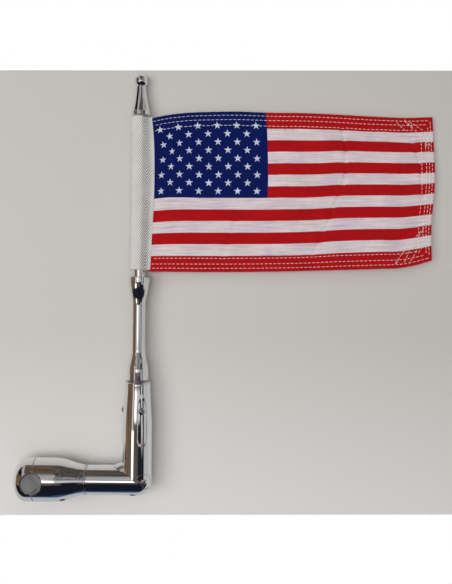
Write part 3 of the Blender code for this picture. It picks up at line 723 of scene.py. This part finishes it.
def makeScrews():
    makeCapScrew("upper", 1)
    makeCapScrew("lower", -1)
    makeSetScrew("swivelSetScrew", "swivel_set_screw", "clamp", clamp["setScrewX"], 7.1 * mm, 6 * mm)
    makeSetScrew("foldLockScrew", "fold_lock_screw", "arm", elbow["lockScrewX"], 8.35 * mm, 4.5 * mm)
    for word, angle in receiver["angles"].items():
        makeReceiverScrew(word, angle)
    makeHingePin()
    print("screws ready")


makeScrews()

pole = {"waist": 6.5 * mm, "collar": 10 * mm, "foot": holderBox[0][2], "spigot": 7.9 * mm,
        "chamfer": 0.7 * mm, "seat": ringBox[1][2] + 0.3 * mm, "lowerRun": (8, 29), "upperRun": (28, 3),
        "rodHole": 5.7 * mm, "lip": 0.3 * mm, "rodEdge": 0.6 * mm, "studHole": 2.65 * mm,
        "studDepth": 13 * mm, "ringHole": 8.2 * mm}


def ringPiece(name, low, high, inner, outer, edge, axis, center):
    outline = [(low, inner), (low, outer - edge)]
    outline += roundCorner((low + edge, outer - edge), edge, 180, 90, 4)
    outline += roundCorner((high - edge, outer - edge), edge, 90, 0, 4) + [(high, inner), (low, inner)]
    return smooth(lathe(name, outline, axis, center))


def makeHolder():
    top, seat, chamfer = holderBox[1][2], pole["seat"], pole["chamfer"]
    waist, collar, spigot, foot = pole["waist"], pole["collar"], pole["spigot"], pole["foot"]
    outline = [(foot, 0), (foot, spigot - chamfer), (foot + chamfer, spigot), (seat, spigot),
               (seat, collar - chamfer)]
    outline += roundCorner((seat + chamfer, collar - chamfer), chamfer, 180, 90, 5)
    lower = [seat + run * mm for run in pole["lowerRun"]]
    upper = [top - run * mm for run in pole["upperRun"]]
    for (low, high), begin, finish in ((lower, collar, waist), (upper, waist, collar)):
        for share in np.linspace(0, 1, 33):
            outline.append((low + (high - low) * share, begin + (finish - begin) * ease(share)))
    outline += roundCorner((top - chamfer, collar - chamfer), chamfer, 90, 0, 5)
    hole, lip = pole["rodHole"], pole["lip"]
    floor = rodBox[0][2] - lip
    outline += [(top, hole + lip), (top - lip, hole), (floor, hole), (floor, 0)]
    holder = lathe("poleHolderShell", outline, "Z", (poleX, 0, 0))
    return finishPiece(smooth(holder), chromeFinish, "pole", ["pole_holder"])


def makeRod():
    low, high = rodBox[0][2], rodBox[1][2]
    radius, edge, hole = rodBox[1][0] - poleX, pole["rodEdge"], pole["studHole"]
    floor = high - pole["studDepth"]
    outline = [(low, 0), (low, radius - edge), (low + edge, radius)]
    outline += roundCorner((high - edge, radius - edge), edge, 90, 0, 4)
    outline += [(high, hole), (floor, hole), (floor, 0)]
    rod = lathe("poleRodBar", outline, "Z", (poleX, 0, 0))
    return finishPiece(smooth(rod), chromeFinish, "pole", ["pole_rod"])


def makeRings():
    low, high = washerBox[0][0], washerBox[1][0]
    hole = clamp["spigotHole"]
    washer = ringPiece("swivelWasherRing", low, high, hole, washerBox[1][1], 0.3 * mm, "X", (0, 0, 0))
    finishPiece(washer, chromeFinish, "arm", ["swivel_washer"])
    low, high = ringBox[0][2], ringBox[1][2]
    outer = ringBox[1][0] - poleX
    ring = ringPiece("seatRingBand", low, high, pole["ringHole"], outer, 0.25 * mm, "Z", (poleX, 0, 0))
    finishPiece(ring, steelFinish, "upright", ["seat_ring"])


finial = {"rim": 4.6 * mm, "neck": 4.7 * mm, "chamfer": 1.2 * mm, "hollow": 0.5 * mm, "shoulder": 0.4 * mm,
          "lip": 0.3 * mm, "hole": 2.65 * mm}


def makeCone():
    low, high = coneBox[0][2], coneBox[1][2]
    radius, neck, lip = coneBox[1][0] - poleX, finial["neck"], finial["lip"]
    chamfer, shoulder, rim = finial["chamfer"], finial["shoulder"], low + finial["rim"]
    outline = [(low, finial["hole"]), (low, radius - chamfer)]
    outline += roundCorner((low + chamfer, radius - chamfer), chamfer, 180, 90, 8)[1:]
    outline += roundCorner((rim - lip, radius - lip), lip, 90, 30, 4)
    start = rim + 2 * shoulder
    for share in np.linspace(0, 1, 33):
        width = radius - shoulder + (neck - radius + shoulder) * share
        width -= finial["hollow"] * math.sin(math.pi * share)
        outline.append((start + (high - start) * share, width))
    outline += [(high, finial["hole"]), (low, finial["hole"])]
    cone = lathe("finialConeShell", outline, "Z", (poleX, 0, 0))
    return finishPiece(smooth(cone, 28), chromeFinish, "finial", ["finial_cone"])


def makeBall():
    radius = ballBox[1][0] - poleX
    center = ballBox[1][2] - radius
    flat = math.degrees(math.acos((center - ballBox[0][2]) / radius))
    hole, depth = finial["hole"], center - 0.5 * mm
    outline = [(depth, 0), (depth, hole), (ballBox[0][2], hole)]
    outline += roundCorner((center, 0), radius, 180 - flat, 0, 48)
    ball = lathe("finialBallTop", outline, "Z", (poleX, 0, 0))
    return finishPiece(smooth(ball), chromeFinish, "finial", ["finial_ball"])


makeHolder()
makeRod()
makeRings()
makeCone()
makeBall()
print("pole ready")

flag = {"seam": sleeveBox[1][0], "top": clothBox[1][2], "fly": 270 * mm, "hoist": 151.5 * mm,
        "tuck": 2.5 * mm, "outerStripe": 15.3 * mm, "cantonFly": 109.2 * mm, "field": 0.45 * mm,
        "hem": 0.95 * mm, "hemWidth": 13.5 * mm, "grid": 1.2 * mm}
flag["stripe"] = (flag["hoist"] - 2 * flag["outerStripe"]) / 11
flag["canton"] = flag["outerStripe"] + 6 * flag["stripe"]

# how far the cloth as it lies is off a rectangle, in mm, at distances along it
flagEdges = {"top": [(0, -0.8), (14, 2.3), (32, 4.7), (59, 6.2), (83, 6.4), (108, 5.9), (150, 5.3),
                     (182, 4.3), (219, 3.1), (241, 2.8), (270, 3.9)],
             "foot": [(0, 3.3), (50, 3.6), (124, 4.9), (179, 6.8), (220, 8.4), (241, 9.6), (255, 12.5),
                      (270, 16.9)],
             "seam": [(0, -1.0), (16, 0.7), (45, 1.9), (78, 1.8), (112, 0.3), (150, -1.2)],
             "end": [(0, -0.8), (14, 0.2), (30, 0.9), (66, 2.3), (88, 1.2), (108, -0.7), (150, -0.6)],
             "liftAlong": [(110, 0), (140, 0.2), (161, 0.9), (176, 1.9), (190, 2.3), (215, 2.4), (240, 2.2),
                           (258, 1.5), (270, 0.5)],
             "liftDown": [(0, 0), (12, 0), (20, 0.3), (30, 0.8), (50, 1), (110, 1), (132, 0.8), (145, 0.3),
                          (151.5, 0)],
             "seamLift": [(0, -0.5), (15, -0.5), (35, 0.3), (50, 1.4), (78, 1.6), (95, 0.3), (110, 0)],
             "seamPull": [(0, 0), (22, -1.6), (45, -1.2), (80, -0.5), (110, 0)]}

# folds pressed into the cloth, in mm along the fly and down from the top edge
creases = [{"path": [(181, 13), (184, 33), (183, 66), (178, 79), (174, 91), (168, 109), (156, 136)],
            "depth": 1.0, "width": 1.7},
           {"path": [(248, 22), (252, 37), (256, 50), (259, 84)], "depth": 1.0, "width": 2.0},
           {"path": [(82, 96), (76, 118), (70, 138)], "depth": 0.7, "width": 2.4},
           {"path": [(226, 22), (246, 27), (262, 24)], "depth": 0.8, "width": 2.2},
           {"path": [(228, 126), (246, 121), (262, 108)], "depth": 0.8, "width": 2.4},
           {"path": [(120, 20), (128, 52), (124, 80)], "depth": -0.4, "width": 5}]

# the hanging cloth's waves: heights, lengths and reaches in mm
waves = {"sway": 2.6, "lean": 5, "ripple": 0.75, "rippleLong": 15.5, "cross": 0.45, "crossLong": 8.7,
         "pucker": 0.22, "puckerLong": 1.55, "puckerReach": 7, "slack": 0.315, "slackLong": 6.1,
         "slackFrom": 17, "slackReach": 6, "pinch": 0.35, "pinchReach": 1.6, "liftFrom": 45, "liftRun": 30}


# smooth curve through given points
def throughPoints(points, at):
    knots = np.array([point[0] for point in points], float)
    values = np.array([point[1] for point in points], float)
    slopes = np.gradient(values, knots)
    at = np.clip(at, knots[0], knots[-1])
    left = np.clip(np.searchsorted(knots, at) - 1, 0, len(knots) - 2)
    run = knots[left + 1] - knots[left]
    share = (at - knots[left]) / run
    square, cube = share ** 2, share ** 3
    near = (2 * cube - 3 * square + 1) * values[left] + (cube - 2 * square + share) * run * slopes[left]
    return near + (3 * square - 2 * cube) * values[left + 1] + (cube - square) * run * slopes[left + 1]


def flagCurve(name, at):
    return throughPoints(flagEdges[name], at)


def distanceToPath(path, along, down):
    nearest = np.full(along.shape, 1e9)
    for (ax, ay), (bx, by) in zip(path, path[1:]):
        runX, runY = bx - ax, by - ay
        share = ((along - ax) * runX + (down - ay) * runY) / (runX ** 2 + runY ** 2)
        share = np.clip(share, 0, 1)
        nearest = np.minimum(nearest, np.hypot(along - ax - share * runX, down - ay - share * runY))
    return nearest


# middle surface of the cloth: along the fly and down the hoist in mm, to places in metres
def clothPlace(along, down):
    flyLong, hoistLong = flag["fly"] / mm, flag["hoist"] / mm
    share = np.clip(along / flyLong, 0, 1)
    drop = down / hoistLong
    rise = (1 - drop) * flagCurve("top", along) + drop * flagCurve("foot", along)
    rise = rise + flagCurve("liftAlong", along) * flagCurve("liftDown", down)
    nearSeam = np.clip((waves["liftFrom"] - along) / waves["liftRun"], 0, 1)
    rise = rise + flagCurve("seamLift", down) * nearSeam
    shift = (1 - share) * flagCurve("seam", down) + share * flagCurve("end", down)
    shift = shift + flagCurve("seamPull", along)
    free = np.clip(share * 6, 0, 1)
    sway = waves["sway"] * np.sin(math.pi * (1.7 * share + 0.35 * (1 - drop))) * free
    sway = sway + waves["lean"] * (0.5 - 0.5 * np.cos(math.pi * share))
    ripple = np.sin(along / waves["rippleLong"] + 0.03 * down + 0.8 * np.sin(down / 31))
    ripple = waves["ripple"] * ripple * np.clip(0.35 + drop, 0, 1)
    cross = waves["cross"] * np.sin(along / waves["crossLong"] - down / 21 + 1.3)
    ripple += cross * np.sin(down / 17 + along / 60)
    # small puckers along the hems, and slack cloth just inside them
    hemEdge = np.minimum(down, hoistLong - down)
    edge = np.minimum(hemEdge, np.where(along > flyLong / 2, flyLong - along, 99))
    pucker = waves["pucker"] * np.sin(along / waves["puckerLong"] + 2.2 * np.sin(along / 13))
    pucker = pucker * np.exp(-(hemEdge / waves["puckerReach"]) ** 2)
    slack = waves["slack"] * np.sin(along / waves["slackLong"] + 0.9 * np.sin(along / 17))
    slack = slack * np.exp(-((edge - waves["slackFrom"]) / waves["slackReach"]) ** 2)
    fold = np.zeros(along.shape)
    for crease in creases:
        near = distanceToPath(crease["path"], along, down) / crease["width"]
        fold += crease["depth"] * np.exp(-near ** 2)
        rise = rise - waves["pinch"] * crease["depth"] * np.exp(-(near / waves["pinchReach"]) ** 2)
    depth = sway + (ripple + slack) * free + pucker + fold * free
    x = flag["seam"] + (along + shift) * mm
    return np.stack([x, depth * mm, flag["top"] + (rise - down) * mm], axis=-1)


# a UV map whose unit is 100 mm of cloth
def mapCloth(mesh, name, first, second):
    layer = mesh.uv_layers[0]
    layer.name = name
    corner = np.empty(len(mesh.loops), int)
    mesh.loops.foreach_get("vertex_index", corner)
    layer.data.foreach_set("uv", np.stack([first[corner] / 100, second[corner] / 100], axis=-1).ravel())


def makeFlagCloth():
    startAlong = -flag["tuck"] / mm
    columns = round((flag["fly"] + flag["tuck"]) / flag["grid"])
    rows = round(flag["hoist"] / flag["grid"])
    bpy.ops.mesh.primitive_grid_add(x_subdivisions=columns, y_subdivisions=rows, size=1, calc_uvs=True)
    cloth = bpy.context.object
    cloth.name = cloth.data.name = "flagBunting"
    mesh = cloth.data
    flat = np.array([vert.co[:2] for vert in mesh.vertices])
    along = startAlong + (flat[:, 0] + 0.5) * (flag["fly"] / mm - startAlong)
    down = (0.5 - flat[:, 1]) * flag["hoist"] / mm
    places = clothPlace(along, down)
    mesh.vertices.foreach_set("co", places.ravel())
    mapCloth(mesh, "clothMap", along, down)
    if mesh.polygons[0].normal.y > 0:
        mesh.flip_normals()
    hemmed = cloth.vertex_groups.new(name="hems")
    width = flag["hemWidth"] / mm
    hoistLong, flyLong = flag["hoist"] / mm, flag["fly"] / mm
    rim = (down < width) | (down > hoistLong - width) | (along > flyLong - width)
    hemmed.add([int(k) for k in np.nonzero(rim)[0]], 1.0, "REPLACE")
    pick(cloth)
    wall = cloth.modifiers.new("wall", "SOLIDIFY")
    wall.thickness = flag["hem"]
    wall.offset = 0
    wall.vertex_group = "hems"
    wall.thickness_vertex_group = flag["field"] / flag["hem"]
    bpy.ops.object.modifier_apply(modifier="wall")
    for polygon in mesh.polygons:
        polygon.use_smooth = True
    return finishPiece(cloth, makeBunting(), "flag", ["flag_cloth"])


# printed cotton: stripes, canton and stars from the cloth's own map
def makeBunting():
    dyes = {"red": (0.35, 0.0035, 0.006), "white": (0.585, 0.51, 0.535), "lilac": (0.49, 0.42, 0.53),
            "navy": (0.001, 0.0065, 0.08), "star": (0.47, 0.52, 0.64), "starRadius": 3.8, "starFly": 18.3,
            "starRow": 15.52, "pull": 2.8, "thread": 0.62, "bleed": 0.55, "soft": 0.15, "starSoft": 0.06,
            "relief": 0.07 * mm, "firstStars": (7.4, 12.8, 5, 4), "midStars": (16.6, 20.56, 4, 3)}
    material, nodes, shader = newMaterial("printedBunting", dyes["white"], 0.0, 0.85)
    cloth = nodes.add("ShaderNodeUVMap", uv_map="clothMap").outputs[0]
    bleed = nodes.minus(nodes.noise(cloth, 90, 2), 0.5)
    along = nodes.times(nodes.split(cloth)[0], 100)
    down = nodes.times(nodes.split(cloth)[1], 100)
    down = nodes.plus(down, nodes.times(bleed, dyes["bleed"]))
    count = nodes.math("DIVIDE", nodes.minus(down, flag["outerStripe"] / mm), flag["stripe"] / mm)
    count = nodes.math("MINIMUM", nodes.math("MAXIMUM", count, -0.5), 11.5)
    striped = nodes.spread(nodes.math("SINE", nodes.times(count, math.pi)), -0.05, 0.05, 0, 1)
    faded = nodes.spread(nodes.noise(cloth, 5, 2), 0.5, 0.72, 0, 0.6)
    color = nodes.mix(striped, dyes["red"], nodes.mix(faded, dyes["white"], dyes["lilac"]))

    # 1 up to a limit and 0 past it, with a soft edge
    def upTo(value, limit, soft):
        return nodes.spread(value, limit - soft, limit + soft, 1, 0)

    inCanton = nodes.times(upTo(along, flag["cantonFly"] / mm, dyes["soft"]),
                           upTo(down, flag["canton"] / mm, dyes["soft"]))
    color = nodes.mix(inCanton, color, dyes["navy"])

    def lattice(value, first, pitch, last):
        cell = nodes.math("ROUND", nodes.math("DIVIDE", nodes.minus(value, first), pitch))
        cell = nodes.math("MINIMUM", nodes.math("MAXIMUM", cell, 0), last)
        far = nodes.minus(value, first)
        return nodes.minus(far, nodes.times(cell, pitch))

    # the print is pulled aside next to the sleeve
    pull = nodes.times(nodes.spread(down, 21, 28, 0, dyes["pull"]), nodes.spread(down, 31, 60, 1, 0))
    pull = nodes.times(pull, nodes.spread(along, 17, 27, 1, 0))
    starAlong = nodes.minus(along, pull)

    def starField(firstAlong, firstDown, lastAlong, lastDown):
        across = lattice(starAlong, firstAlong, dyes["starFly"], lastAlong)
        fall = lattice(down, firstDown, dyes["starRow"], lastDown)
        squares = (nodes.times(across, across), nodes.times(fall, fall))
        reach = nodes.math("SQRT", nodes.plus(*squares))
        turn = nodes.math("ARCTAN2", across, nodes.times(fall, -1))
        fifth = math.radians(72)
        folded = nodes.math("FLOORED_MODULO", nodes.plus(turn, fifth / 2), fifth)
        folded = nodes.math("ABSOLUTE", nodes.minus(folded, fifth / 2))
        edge = nodes.times(reach, nodes.math("COSINE", nodes.minus(folded, fifth)))
        return upTo(edge, math.cos(fifth) * dyes["starRadius"], dyes["starSoft"])

    stars = nodes.math("MAXIMUM", starField(*dyes["firstStars"]), starField(*dyes["midStars"]))
    color = nodes.mix(stars, color, dyes["star"])
    # thread lines, faint blotches and worn fibres
    ribs = nodes.noise(nodes.stretch(cloth, (3, 95, 1)), 1.0, 2)
    shade = 1.0
    for pattern, strength in ((ribs, 0.95), (nodes.noise(cloth, 9, 3), 0.25)):
        change = nodes.times(nodes.minus(pattern, 0.5), strength)
        shade = nodes.plus(shade, change)
    tone = nodes.add("ShaderNodeHueSaturation")
    nodes.link(shade, tone.inputs["Value"])
    nodes.link(color, tone.inputs["Color"])
    nodes.link(tone.outputs[0], shader.inputs["Base Color"])
    weft = nodes.math("SINE", nodes.times(down, math.tau / dyes["thread"]))
    warp = nodes.math("SINE", nodes.times(along, math.tau / dyes["thread"]))
    weave = nodes.plus(nodes.times(weft, warp), nodes.times(ribs, 3.5))
    nodes.link(nodes.bump(weave, 0.7, dyes["relief"]), shader.inputs["Normal"])
    nodes.link(nodes.spread(ribs, 0.3, 0.7, 0.7, 0.92), shader.inputs["Roughness"])
    shader.inputs["Specular IOR Level"].default_value = 0.22
    shader.inputs["Sheen Weight"].default_value = 0.04
    shader.inputs["Sheen Roughness"].default_value = 0.4
    return material


flagCloth = makeFlagCloth()
print("flag cloth ready")

stitch = {"pitch": 4.15, "dash": 3.2, "start": 0.4, "wide": 0.5, "high": 0.36, "rows": (3.4, 7.5, 12.9),
          "fromEnd": (2.6, 5.3, 12.4), "fromSeam": 0.6, "binding": 8.2, "corner": 14, "lift": 0.1 * mm,
          "phase": (0.7, 3), "nudge": 0.5}


def makeThreadFinish():
    material, nodes, shader = newMaterial("whiteThread", (0.8, 0.77, 0.75), 0.0, 0.6)
    fibre = nodes.noise(nodes.place(), 2600, 3)
    tint = nodes.mix(nodes.spread(fibre, 0.3, 0.7, 0, 1), (0.62, 0.58, 0.57), (0.86, 0.84, 0.82))
    nodes.link(tint, shader.inputs["Base Color"])
    nodes.link(nodes.bump(fibre, 0.6, 0.06 * mm), shader.inputs["Normal"])
    return material


threadFinish = makeThreadFinish()


# both ends of evenly spaced stitches along a path on the cloth, in mm
def stitchRun(path, phase):
    points = np.array(path, float)
    steps = np.hypot(*np.diff(points, axis=0).T)
    total = np.concatenate([[0], np.cumsum(steps)])
    starts = np.arange(phase + stitch["start"], total[-1] - stitch["dash"], stitch["pitch"])
    ends = starts + stitch["dash"]
    columns = [np.interp(far, total, points[:, k]) for far in (starts, ends) for k in (0, 1)]
    return np.stack(columns, axis=-1)


def stitchPaths():
    flyLong, hoistLong = flag["fly"] / mm, flag["hoist"] / mm
    paths = []
    start, corner = stitch["fromSeam"], stitch["corner"]
    for row, back in zip(stitch["rows"], stitch["fromEnd"]):
        turnAt = flyLong - back
        paths += [[(start, row), (turnAt, row)], [(turnAt, row), (turnAt, hoistLong - row)],
                  [(start, hoistLong - row), (turnAt, hoistLong - row)]]
    turnAt = flyLong - stitch["binding"]
    paths.append([(turnAt, corner), (turnAt, hoistLong - corner)])
    # slanted rows that strengthen the two free corners
    paths += [[(234, 3.7), (243, 13.3)], [(235, 3.4), (234, 6)], [(240.6, 1), (251, 12)],
              [(247, 3.7), (260, 13.3)], [(241.6, 1), (252, 11.5)], [(251, 13), (259, 21)],
              [(258, 14), (264.5, 34)], [(267, 14), (261, 34)], [(261.5, 15), (267, 33)],
              [(256, 14), (259, 30)]]
    for ax, ay, bx, by in ((233, 2, 246.5, 19.5), (246.5, 19.5, 266, 38), (243, 4, 251, 19),
                           (251, 19, 263, 34), (234, 2.4, 239, 8.6), (243, 4, 249, 4), (249, 4, 267, 30),
                           (256, 10, 267, 22)):
        paths.append([(ax, hoistLong - ay), (bx, hoistLong - by)])
    return paths


# one thread dash, copied to each pair of ends on both faces of the cloth
def makeStitching():
    bpy.ops.mesh.primitive_uv_sphere_add(segments=6, ring_count=5, radius=0.5)
    model = bpy.context.object
    model.data.transform(Matrix.Rotation(math.pi / 2, 4, "Y"))
    shape = np.array([vert.co for vert in model.data.vertices])
    faces = [list(polygon.vertices) for polygon in model.data.polygons]
    bpy.data.objects.remove(model)
    step, limit = stitch["phase"]
    ends = np.concatenate([stitchRun(path, step * k % limit) for k, path in enumerate(stitchPaths())])
    places, polygons = [], []
    nudge = stitch["nudge"]
    for ax, ay, bx, by in ends:
        cx, cy = (ax + bx) / 2, (ay + by) / 2
        around = clothPlace(np.array([ax, bx, cx, cx + nudge, cx]), np.array([ay, by, cy, cy, cy + nudge]))
        first, last, center, beside, below = around
        run = last - first
        length = np.linalg.norm(run)
        run = run / length
        outward = np.cross(beside - center, below - center)
        outward /= np.linalg.norm(outward)
        side = np.cross(outward, run)
        for face in (1, -1):
            lift = face * (flag["hem"] / 2 + stitch["lift"])
            local = (shape[:, :1] * run * length + shape[:, 1:2] * side * stitch["wide"] * mm
                     + shape[:, 2:3] * outward * stitch["high"] * mm)
            base = len(places) * len(shape)
            places.append(center + outward * lift + local)
            polygons += [[base + k for k in polygon] for polygon in faces]
    mesh = bpy.data.meshes.new("hemStitching")
    mesh.from_pydata(np.concatenate(places).tolist(), [], polygons)
    for polygon in mesh.polygons:
        polygon.use_smooth = True
    obj = bpy.data.objects.new("hemStitching", mesh)
    bpy.context.collection.objects.link(obj)
    faceOutward(obj)
    return finishPiece(obj, threadFinish, "flag")


stitching = makeStitching()
print("stitching ready")

sleeve = {"low": sleeveBox[0][2], "high": sleeveBox[1][2], "left": 9.2, "depth": 7.3, "lip": 1.0,
          "wall": 0.7 * mm, "columns": 120, "rows": 120, "soft": 0.45}


# half depth of the sleeve at a distance to the right of the pole, with its free edge at reach
def sleeveDepth(x, reach):
    if x <= 0:
        return sleeve["depth"] * math.sqrt(max(1 - (x / sleeve["left"]) ** 2, 0))
    share = min(max((x - 1.0) / (reach - 2.6), 0), 1)
    return sleeve["depth"] + (sleeve["lip"] - sleeve["depth"]) * ease(share) ** 0.85


def makeSleeve():
    columns, rows = sleeve["columns"], sleeve["rows"]
    bpy.ops.mesh.primitive_grid_add(x_subdivisions=columns, y_subdivisions=rows, size=1, calc_uvs=True)
    tube = bpy.context.object
    tube.name = tube.data.name = "poleSleeve"
    mesh = tube.data
    corners = np.array([vert.co[:2] for vert in mesh.vertices])
    places = np.empty((len(corners), 3))
    girth = np.empty(len(corners))
    for k, (side, tall) in enumerate(corners):
        turn = side + 0.5
        share = tall + 0.5
        height = sleeve["low"] + (sleeve["high"] - sleeve["low"]) * share
        down = (flag["top"] - height) / mm
        edge = float(flagCurve("seam", np.array([down]))[0])
        reach = (flag["seam"] - poleX) / mm + edge + 0.3
        # once round from the rear edge at the seam, over the left fold, to the front edge
        angle = math.pi * (1 - abs(2 * turn - 1))
        x = (reach - sleeve["left"]) / 2 + (reach + sleeve["left"]) / 2 * math.cos(angle)
        half = max(sleeveDepth(x, reach), 0.02)
        face = -1 if turn > 0.5 else 1
        soft = noise.noise(Vector((x * 0.12, face * 3.0, height * 55)))
        half += sleeve["soft"] * soft * min(half / 3, 1)
        places[k] = (poleX + (x + 0.35 * soft * (x < 0)) * mm, face * half * mm, height)
        girth[k] = face * (x + sleeve["left"])
    mesh.vertices.foreach_set("co", places.ravel())
    mapCloth(mesh, "sleeveMap", girth, (places[:, 2] - sleeve["low"]) / mm)
    faceOutward(tube)
    left = min(mesh.polygons, key=lambda polygon: polygon.center.x)
    if left.normal.x > 0:
        mesh.flip_normals()
    wall = tube.modifiers.new("wall", "SOLIDIFY")
    wall.thickness = sleeve["wall"]
    wall.offset = -1
    wall.use_even_offset = True
    bpy.ops.object.modifier_apply(modifier="wall")
    for polygon in mesh.polygons:
        polygon.use_smooth = True
    return finishPiece(tube, makeWebbing(), "flag", ["flag_sleeve"])


# white herringbone tape: fine ribs that meet in a V along the sleeve, with painted shade in the grooves
# between ribs, deepest near the V
def makeWebbing():
    tape = {"light": (0.66, 0.655, 0.645), "shade": (0.1, 0.098, 0.094), "ridge": 15.4, "rib": 2.9,
            "slope": 1.4, "wander": 1.6, "relief": 0.2 * mm}
    material, nodes, shader = newMaterial("herringboneTape", tape["light"], 0.0, 0.8)
    cloth = nodes.add("ShaderNodeUVMap", uv_map="sleeveMap").outputs[0]
    girth = nodes.times(nodes.split(cloth)[0], 100)
    height = nodes.times(nodes.split(cloth)[1], 100)
    wander = nodes.minus(nodes.noise(cloth, 14, 2), 0.5)
    wander = nodes.times(wander, tape["wander"])
    girth = nodes.plus(nodes.math("ABSOLUTE", girth), wander)
    away = nodes.math("ABSOLUTE", nodes.minus(girth, tape["ridge"]))
    phase = nodes.minus(height, nodes.times(away, tape["slope"]))
    rib = nodes.math("SINE", nodes.times(phase, math.tau / tape["rib"]))
    # painted shade: the grooves between the ribs are darkened towards the shade colour
    grooveShade = nodes.spread(rib, -0.1, 0.9, 0, 1)
    # the painted groove shade is deepest near the V where the ribs meet and fainter away from it
    near = nodes.spread(away, 0.5, 12, 1, 0.6)
    patch = nodes.spread(nodes.noise(cloth, 6, 3), 0.3, 0.65, 0.6, 1)
    # how far the painted shade darkens the tape, uneven at random
    depth = nodes.times(nodes.times(grooveShade, near), patch)
    nodes.link(nodes.mix(depth, tape["light"], tape["shade"]), shader.inputs["Base Color"])
    nodes.link(nodes.bump(nodes.times(rib, -1), 0.9, tape["relief"]), shader.inputs["Normal"])
    shader.inputs["Sheen Weight"].default_value = 0.1
    return material


tube = makeSleeve()
print("sleeve ready")

# the carried-over pieces of the frame
for name in ("swivel_spigot", "finial_stud"):
    frame["nodes"][name].data.materials.clear()
    frame["nodes"][name].data.materials.append(steelFinish)
